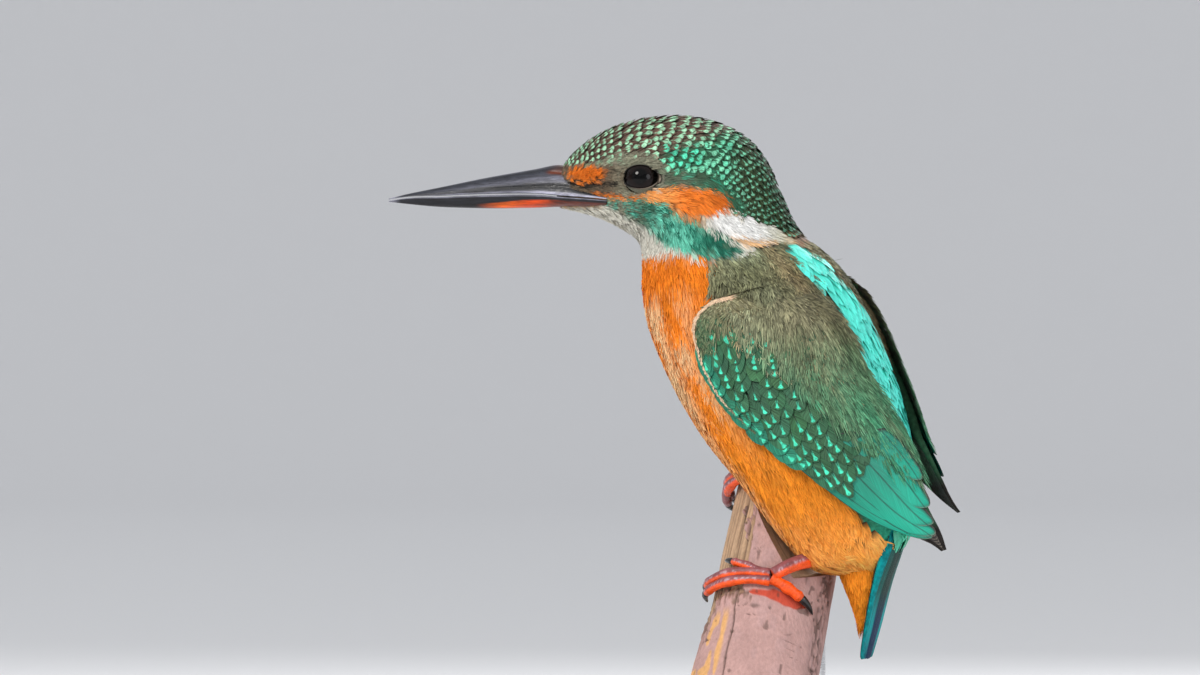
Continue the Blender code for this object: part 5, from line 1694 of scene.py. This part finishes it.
class KF_OT_eyes(bpy.types.Operator):
    """Makes the eyeballs and the lids round them"""

    bl_idname = "kingfisher.eyes"
    bl_label = "Eyes and Lids"

    def execute(self, context):
        for side, place in SIDES:
            self.ball(side, place)
            self.lids(side, place)
        return {"FINISHED"}

    def ball(self, side, place):
        """A sphere whose rings run round the line of sight, with a slightly raised clear front."""
        out, along, up = eye_axes(side)
        polar, ring = net(np.linspace(0.02, math.pi - 0.02, 40), circle(64))
        radius = EYE_RADIUS * (1 + 0.035 * np.exp(-((polar / 0.62) ** 4)))
        beside = np.cos(ring)[..., None] * along + np.sin(ring)[..., None] * up
        facing = np.cos(polar)[..., None] * out + np.sin(polar)[..., None] * beside
        shell = tube_shell(eye_centre(side) + radius[..., None] * facing)
        iris = smooth(polar, 0.40, 0.45) * (1 - smooth(polar, 0.78, 0.86))
        rays = 0.75 + 0.5 * grain(field(ring * 9, polar * 3, 0.0), 6)
        tone = paint("eye") * (0.4 * rays * iris)[..., None] + 0.001
        clear = {"Coat_Weight": 0.6, "Coat_Roughness": 0.02, "Coat_IOR": 1.36}
        finish = Finish("eye_gloss_" + place, 0.2, Specular_IOR_Level=0.0, **clear)
        finish.colour(finish.attribute("ground").outputs["Color"])
        piece = add_mesh("eyeball_" + place, *shell, [finish.material], {"ground": capped(tone)})
        settle(piece, "eye", "eye_" + place)

    def lids(self, side, place):
        """A ring round the almond opening: its profile leaves the eyeball, makes a rim with a fold
        behind it, and sinks under the feathers. Above and below it stays on the eyeball longer."""
        long, high = millimetres("eye_opening_long") / 2, millimetres("eye_opening_high") / 2
        out, along, up = eye_axes(side)
        ring = circle(96)[None, :]
        t = np.linspace(0, 1, 20)[:, None]
        scale = np.interp(t, [0, 0.15, 0.3, 0.5, 0.62, 0.8, 1], [0.95, 0.98, 1.02, 1.08, 1.14, 1.24, 1.42])
        pointed = 1 + 0.14 * np.abs(np.cos(ring)) ** 6 * smooth(t, 0.05, 0.3)
        x = scale * long * np.cos(ring) * pointed
        tall = np.sin(ring) ** 2
        y = (scale * high + (EYE_RING[3] - high) * smooth(t, 0.3, 0.85)) * np.sin(ring)
        flat = np.minimum(np.hypot(x, y), EYE_RADIUS * 0.985)
        rise = np.sqrt((EYE_RADIUS + 0.02) ** 2 - flat**2)
        ball = eye_centre(side) + (x[..., None] * along + y[..., None] * up) + rise[..., None] * out
        lift = np.interp(t, [0, 0.3, 0.5, 0.62, 0.8, 1], [0.0, 0.0, -0.25, -0.1, -0.35, -1.0]) + 0 * x
        share = smooth(t - 0.5 * tall * smooth(t, 0.0, 0.3), 0.1, 0.75 - 0.25 * tall)[..., None]
        swell = (0.34 * np.exp(-(((t - 0.2) / 0.1) ** 2)))[..., None] * out
        grid = ball + (self.on_face(side, x, y, lift) - ball) * share + swell
        away = grid - eye_centre(side)
        low_rear = np.clip(0.75 * away[..., 0] / long - 0.8 * away[..., 2] / high, 0, 1)
        tone = layer(paint("dark") + 0 * away, smooth(t + 0.1 * tall, 0.36, 0.46), paint("brow") * 0.42)
        # Painted highlight: a pale line along the lower rear rim of the lid.
        tone = layer(tone, low_rear * np.exp(-(((t - 0.2) / 0.08) ** 2)), paint("primary_edge") * 1.8)
        points, cells = grid.reshape(-1, 3), grid_cells(*x.shape, wrap=True)
        first, beside, below = (points[cells[:, corner]] for corner in (0, 1, 3))
        if (np.cross(beside - first, below - first) @ out).sum() <= 0:
            cells = cells[:, ::-1]
        wrinkles = [(2600, 2.0, 0.6, 0.3, 0.7, 0.75, 1.15)]
        finish = grained("lid_" + place, 0.55, wrinkles, 0.1, Specular_IOR_Level=0.3)
        piece = add_mesh("lids_" + place, points, cells, None, [finish], {"ground": tone.reshape(-1, 3)})
        settle(piece, "crown_feathers")

    def on_face(self, side, x, y, lift):
        """Points beside the eye on the face: millimetres along and up from the eye, and the lift."""
        root, still, none = eye_root(side), np.zeros(1), np.zeros((1, 2))
        probe = spread(body_surface, root, still, none, np.array([[0.0, 1.0]]), none)[0]
        upwards = 1 if probe[1, 2] > probe[0, 2] else -1
        backwards = 1 if eye_axes(side)[1][0] > 0 else -1
        steps = ((x * backwards).reshape(1, -1), (y * upwards).reshape(1, -1), lift.reshape(1, -1))
        return spread(body_surface, root, still, *steps).reshape(*x.shape, 3)


class KF_OT_claws(bpy.types.Operator):
    """Makes the claws of both feet"""

    bl_idname = "kingfisher.claws"
    bl_label = "Claws"

    def execute(self, context):
        streaks = [(900, 3.0, 0.6, 0.3, 0.7, 0.7, 1.5)]
        finish = grained("claw_horn", 0.28, streaks, base=paint("claw"), Specular_IOR_Level=0.6)
        for place, _, turn, climb, _ in FEET:
            points, quads, tris, _ = join(claw_shells(place, turn, climb))
            piece = add_mesh("claws_" + place, points, quads, tris, [finish])
            nodes = (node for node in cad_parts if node.startswith("claw_") and node.endswith(place))
            settle(piece, "claw_horn", *sorted(nodes))
        return {"FINISHED"}


class KF_OT_branch(bpy.types.Operator):
    """Makes the cut branch: bark over stripped wood, with cracks and flakes"""

    bl_idname = "kingfisher.branch"
    bl_label = "Branch"

    def execute(self, context):
        angle = circle(300)[None, :]
        top = branch_top(angle, np.full_like(angle, BRANCH_RADIUS - 0.6))
        along = BRANCH_LOW + (top - BRANCH_LOW) * np.linspace(0, 1, 210)[:, None]
        angles = angle + 0 * along
        relief, tone = self.surface_of(angles, along)
        radius = branch_radius(angles, along) + relief
        foot = np.linspace(0.04, 1, 22)[:-1, None] * radius[:1]
        cut = np.linspace(1, 0.04, 22)[1:, None] * radius[-1:]
        top = branch_top(angle + 0 * cut, cut) + 0.25 * grain(field(cut * 3, angle * 8 + 0 * cut, 1.0), 8)
        sides = on_branch(angles, along, relief)
        grid = [off_axis(BRANCH_LOW, foot, angle), sides, off_axis(top, cut, angle)]
        tones = np.concatenate([self.rings(foot), tone, self.rings(cut)])
        grains = [((1500, 1500, 700), 4.0, 0.65, 0.3, 0.72, 0.88, 1.08)]
        grains += [((260, 260, 160), 3.0, 0.6, 0.3, 0.7, 0.92, 1.06)]
        finish = grained("bark_and_wood", 0.85, grains, 0.2, Specular_IOR_Level=0.25)
        piece = add_mesh("branch", *tube_shell(np.concatenate(grid)), [finish], {"ground": capped(tones)})
        settle(piece, "perch_bark", "perch")
        return {"FINISHED"}

    def rings(self, radius):
        """Growth rings of the end wood, by the distance from the axis."""
        return paint("wood") * (0.75 + 0.5 * grain(field(radius * 2.2, 0 * radius, 0.0), 3))[..., None]

    def surface_of(self, angle, along):
        """Relief and colour of the bark and of the wood beside it."""
        beside, over = np.cos(angle), np.sin(angle)
        wrapped = field(beside * 13, over * 13, along)
        coarse = grain(wrapped * (0.25, 0.25, 0.12), 1)
        medium = grain(wrapped * (0.7, 0.7, 0.25), 2)
        fine = grain(wrapped * (2.2, 2.2, 0.8), 3)
        turned = np.degrees((angle + math.pi) % (2 * math.pi) - math.pi)
        border = 30 + 18 * (medium - 0.5) + 12 * (fine - 0.5) + 0.8 * np.clip(along - 6, -30, 30)
        stripped = smooth(turned - border, -0.6, 0.6) * (1 - smooth(turned, 118, 122))
        ragged = -along + 9 * (fine - 0.5) + 10 * (coarse - 0.5) - 0.12 * (turned - 60)
        stripped = stripped * (1 - smooth(ragged, 4, 13))
        fibres = grain(field(beside * 60, over * 60, along * 0.14), 4)
        split_noise = grain(field(beside * 11, over * 11, along * 0.04), 5)
        splits = 1 - smooth(np.abs(split_noise - 0.5), 0.0, 0.05)
        wander = 5 * (grain(field(along * 0.15, 0.0 * along, 0.0), 12) - 0.5)
        long_crack = 1 - smooth(np.abs(turned - 33 - wander), 0.3, 1.2)
        long_crack = long_crack * (0.6 + 0.4 * smooth(-along, -10, 5))
        crack = 1 - smooth(np.abs(grain(wrapped * (0.10, 0.10, 0.62), 6) - 0.5), 0.0, 0.02)
        crack = crack * smooth(grain(wrapped * (0.2, 0.2, 0.2), 16), 0.55, 0.7)
        crack = np.maximum(crack, long_crack)
        pits = smooth(grain(wrapped * (0.9, 0.9, 0.6), 7), 0.80, 0.88)
        rough = smooth(np.abs(turned + 62), 16, 4) * smooth(fine, 0.35, 0.6)
        bark_relief = 0.12 * (coarse - 0.5) + 0.12 * (medium - 0.5) + 0.05 * fine - 0.4 * crack - 0.15 * pits
        bark_relief = bark_relief - 0.4 * rough
        wood_relief = -millimetres("bark_depth") + 0.22 * (fibres - 0.5) - 0.55 * splits
        relief = bark_relief + (wood_relief - bark_relief) * stripped
        bark = paint("bark") * (0.93 + 0.14 * coarse)[..., None]
        bark = layer(bark, 0.35 * smooth(medium, 0.55, 0.8), paint("bark") * (0.86, 0.92, 0.98))
        flakes = smooth(medium, 0.56, 0.62) * smooth(turned, 36, 40) * smooth(-along, 8, 12)
        bark = layer(bark, 0.85 * flakes, paint("buff"))
        # A red-orange patch in the feet's colour on the bark just under the left foot.
        wedge = np.interp(turned, [-38, -22, 18, 24], [0.3, 2.1, 0.8, 0.05])
        red_patch = np.abs(along + 5.1) / wedge + 0.5 * (medium - 0.5) + smooth(np.abs(turned + 7), 28, 31)
        bark = layer(bark, 0.9 * smooth(red_patch, 1.0, 0.75), paint("foot") * (0.5, 0.5, 8.0))
        bark = layer(bark, 0.85 * crack + 0.6 * pits + 0.7 * rough, paint("bark_dark"))
        wood = paint("wood") * (0.62 + 0.6 * fibres)[..., None]
        wood = layer(wood, 0.9 * splits, paint("bark_dark") * 0.5)
        tone = layer(bark, stripped, wood)
        return relief, layer(tone, 2.4 * stripped * (1 - stripped), paint("bark_dark"))

SHARP = math.radians(40)  # faces of the turned parts that meet at more than this have a sharp edge
STEEL = (0.62, 0.62, 0.63)
VIEW_CENTRE = (-38.9, 102.0)  # across and up


def turned_grid(profile, place=(0.0, 0.0), around=160):
    """A profile of (radius, height) carried round an upright line."""
    profile = np.asarray(profile, float)
    angle = circle(around)[None, :]
    radius, height = profile[:, :1], profile[:, 1:]
    return field(place[0] + radius * np.cos(angle), place[1] + radius * np.sin(angle), height + 0 * angle)


def eased(profile, count):
    """More points along a profile, by its length, with straight runs kept."""
    profile = np.asarray(profile, float)
    run = np.concatenate([[0], np.cumsum(np.linalg.norm(np.diff(profile, axis=0), axis=1))])
    at = np.unique(np.concatenate([np.linspace(0, run[-1], count), run]))
    return np.stack([np.interp(at, run, profile[:, i]) for i in range(2)], axis=1)


class KF_OT_stand(bpy.types.Operator):
    """Makes the turned wooden base and the two steel rods"""

    bl_idname = "kingfisher.stand"
    bl_label = "Display Stand"

    def execute(self, context):
        edge, groove = 1.2, 0.35
        outer, thick = BASE_RADIUS, BASE_THICK
        bend = np.linspace(0, math.pi / 2, 9)
        profile = [(0.4, 0.0), (outer - edge, 0.0), (outer, 0.6)]
        profile += [(outer - edge + edge * math.cos(a), thick - edge + edge * math.sin(a)) for a in bend]
        profile += [(outer - 3.0, thick), (outer - 3.3, thick - groove), (outer - 3.9, thick - groove)]
        profile += [(outer - 4.2, thick), (0.4, thick)]
        grains = [((160, 3200, 3200), 2.0, 0.6, 0.35, 0.6, 0.75, 1.05)]
        grains += [((90, 900, 900), 5.0, 0.6, 0.3, 0.7, 0.55, 1.45)]
        varnish = {"Specular_IOR_Level": 0.5, "Coat_Weight": 0.25, "Coat_Roughness": 0.25}
        wood = grained("stained_wood", 0.42, grains, 0.12, paint("stand_wood"), **varnish)
        base = add_mesh("base_wood", *tube_shell(turned_grid(eased(profile, 120))), [wood])
        base.data.set_sharp_from_angle(angle=SHARP)
        settle(base, "stand_wood", "stand_base")
        brushed = [((300, 300, 5200), 2.0, 0.6, 0.3, 0.7, 0.86, 1.06)]
        for (x, y, high), place in zip(ROD_PLACES, ("front", "back")):
            rod = [(0.05, thick - 0.2), (ROD_RADIUS, thick - 0.2), (ROD_RADIUS, high), (0.05, high)]
            collar = [(ROD_RADIUS - 0.2, thick), (4.6, thick), (4.6, thick + 0.9), (4.0, thick + 1.5)]
            collar += [(ROD_RADIUS - 0.2, thick + 1.7)]
            shells = [tube_shell(turned_grid(eased(p, 24), (x, y), 64)) for p in (rod, collar)]
            points, quads, tris, _ = join(shells)
            steel = grained("brushed_steel_" + place, 0.28, brushed, 0.02, STEEL, (0.2, 0.4), Metallic=1.0)
            piece = add_mesh("rod_" + place, points, quads, tris, [steel])
            piece.data.set_sharp_from_angle(angle=SHARP)
            settle(piece, "stand_metal", "stand_rod_" + place)
        return {"FINISHED"}

class KF_OT_stage(bpy.types.Operator):
    """Sets the pale floor, the soft studio light and the camera"""

    bl_idname = "kingfisher.stage"
    bl_label = "Stage"

    def execute(self, context):
        scene = context.scene
        bend = np.linspace(0, math.pi / 2, 16)[1:]
        flat, round_up, wall, around = 5200.0, 1500.0, 3200.0, 96
        profile = [(60.0, 0.0), (flat, 0.0)]
        profile += [(flat + round_up * math.sin(a), round_up - round_up * math.cos(a)) for a in bend]
        profile += [(flat + round_up, wall)]
        grid = turned_grid(profile, around=around) - (0, 0, 0.02)
        points = np.vstack([grid.reshape(-1, 3), [[0, 0, -0.02]]])
        finish = Finish("pale_floor", 0.9, Specular_IOR_Level=0.1)
        finish.colour((0.80, 0.80, 0.81))
        cells = grid_cells(*grid.shape[:2], wrap=True)
        add_mesh("floor", points, cells, fan(len(points) - 1, 0, around), [finish.material])
        world = bpy.data.worlds.new("studio")
        world.use_nodes = True
        background = world.node_tree.nodes["Background"]
        background.inputs["Color"].default_value = (0.95, 0.97, 1.0, 1.0)
        background.inputs["Strength"].default_value = 0.75
        scene.world = world
        self.light("key", (-620, -900, 820), 420, 11.0, (1.0, 0.965, 0.92))
        self.light("fill", (800, -700, 300), 600, 3.0, (0.92, 0.96, 1.0))
        self.light("rim", (300, 800, 700), 420, 5.0, (1.0, 1.0, 1.0))
        self.camera(scene)
        scene.view_settings.view_transform = "Standard"
        return {"FINISHED"}

    def light(self, name, place, size, power, tone):
        data = bpy.data.lights.new(name, "AREA")
        data.shape = "DISK"
        data.size = size * MM
        data.energy = power
        data.color = tone
        lamp = bpy.data.objects.new(name, data)
        bpy.context.scene.collection.objects.link(lamp)
        place = np.array(place, float)
        lamp.location = place * MM
        aim = np.array([0.0, 0.0, 90.0]) - place
        from_z = math.atan2(math.hypot(aim[0], aim[1]), -aim[2])
        lamp.rotation_euler = (from_z, 0.0, math.atan2(aim[1], aim[0]) - math.pi / 2)

    def camera(self, scene):
        """Level with the bird's breast, far off, looking square to the bill."""
        data = bpy.data.cameras.new("camera")
        distance, width = millimetres("camera_distance"), millimetres("view_width")
        data.sensor_width = 36.0
        data.lens = 36.0 * distance / width
        data.clip_start, data.clip_end = 0.05, 60.0
        camera = bpy.data.objects.new("camera", data)
        camera.location = (VIEW_CENTRE[0] * MM, -distance * MM, VIEW_CENTRE[1] * MM)
        camera.rotation_euler = (math.pi / 2, 0.0, 0.0)
        scene.collection.objects.link(camera)
        scene.camera = camera



STEPS = (
    KF_OT_stage, KF_OT_skin, KF_OT_head, KF_OT_body, KF_OT_wings, KF_OT_tail, KF_OT_bill, KF_OT_eyes,
    KF_OT_claws, KF_OT_branch, KF_OT_stand,
)


class KF_PT_panel(bpy.types.Panel):
    """Lists the steps and their settings in the sidebar"""

    bl_idname = "KF_PT_panel"
    bl_label = "Kingfisher Display Model"
    bl_space_type = "VIEW_3D"
    bl_region_type = "UI"
    bl_category = "Kingfisher"

    def draw(self, context):
        column = self.layout.column(align=True)
        for step in STEPS:
            column.operator(step.bl_idname)
        for group in (context.scene.kingfisher_sizes, context.scene.kingfisher_colours):
            box = self.layout.box().column(align=True)
            for key in group.bl_rna.properties.keys():
                if key not in ("rna_type", "name"):
                    box.prop(group, key)


CLASSES = (KF_PG_sizes, KF_PG_colours, *STEPS, KF_PT_panel)


def register():
    for item in CLASSES:
        bpy.utils.register_class(item)
    bpy.types.Scene.kingfisher_sizes = PointerProperty(type=KF_PG_sizes)
    bpy.types.Scene.kingfisher_colours = PointerProperty(type=KF_PG_colours)


def unregister():
    del bpy.types.Scene.kingfisher_sizes
    del bpy.types.Scene.kingfisher_colours
    for item in reversed(CLASSES):
        bpy.utils.unregister_class(item)


def main():
    register()
    for step in STEPS:
        group, name = step.bl_idname.split(".")
        getattr(getattr(bpy.ops, group), name)()


if __name__ == "__main__":
    main()
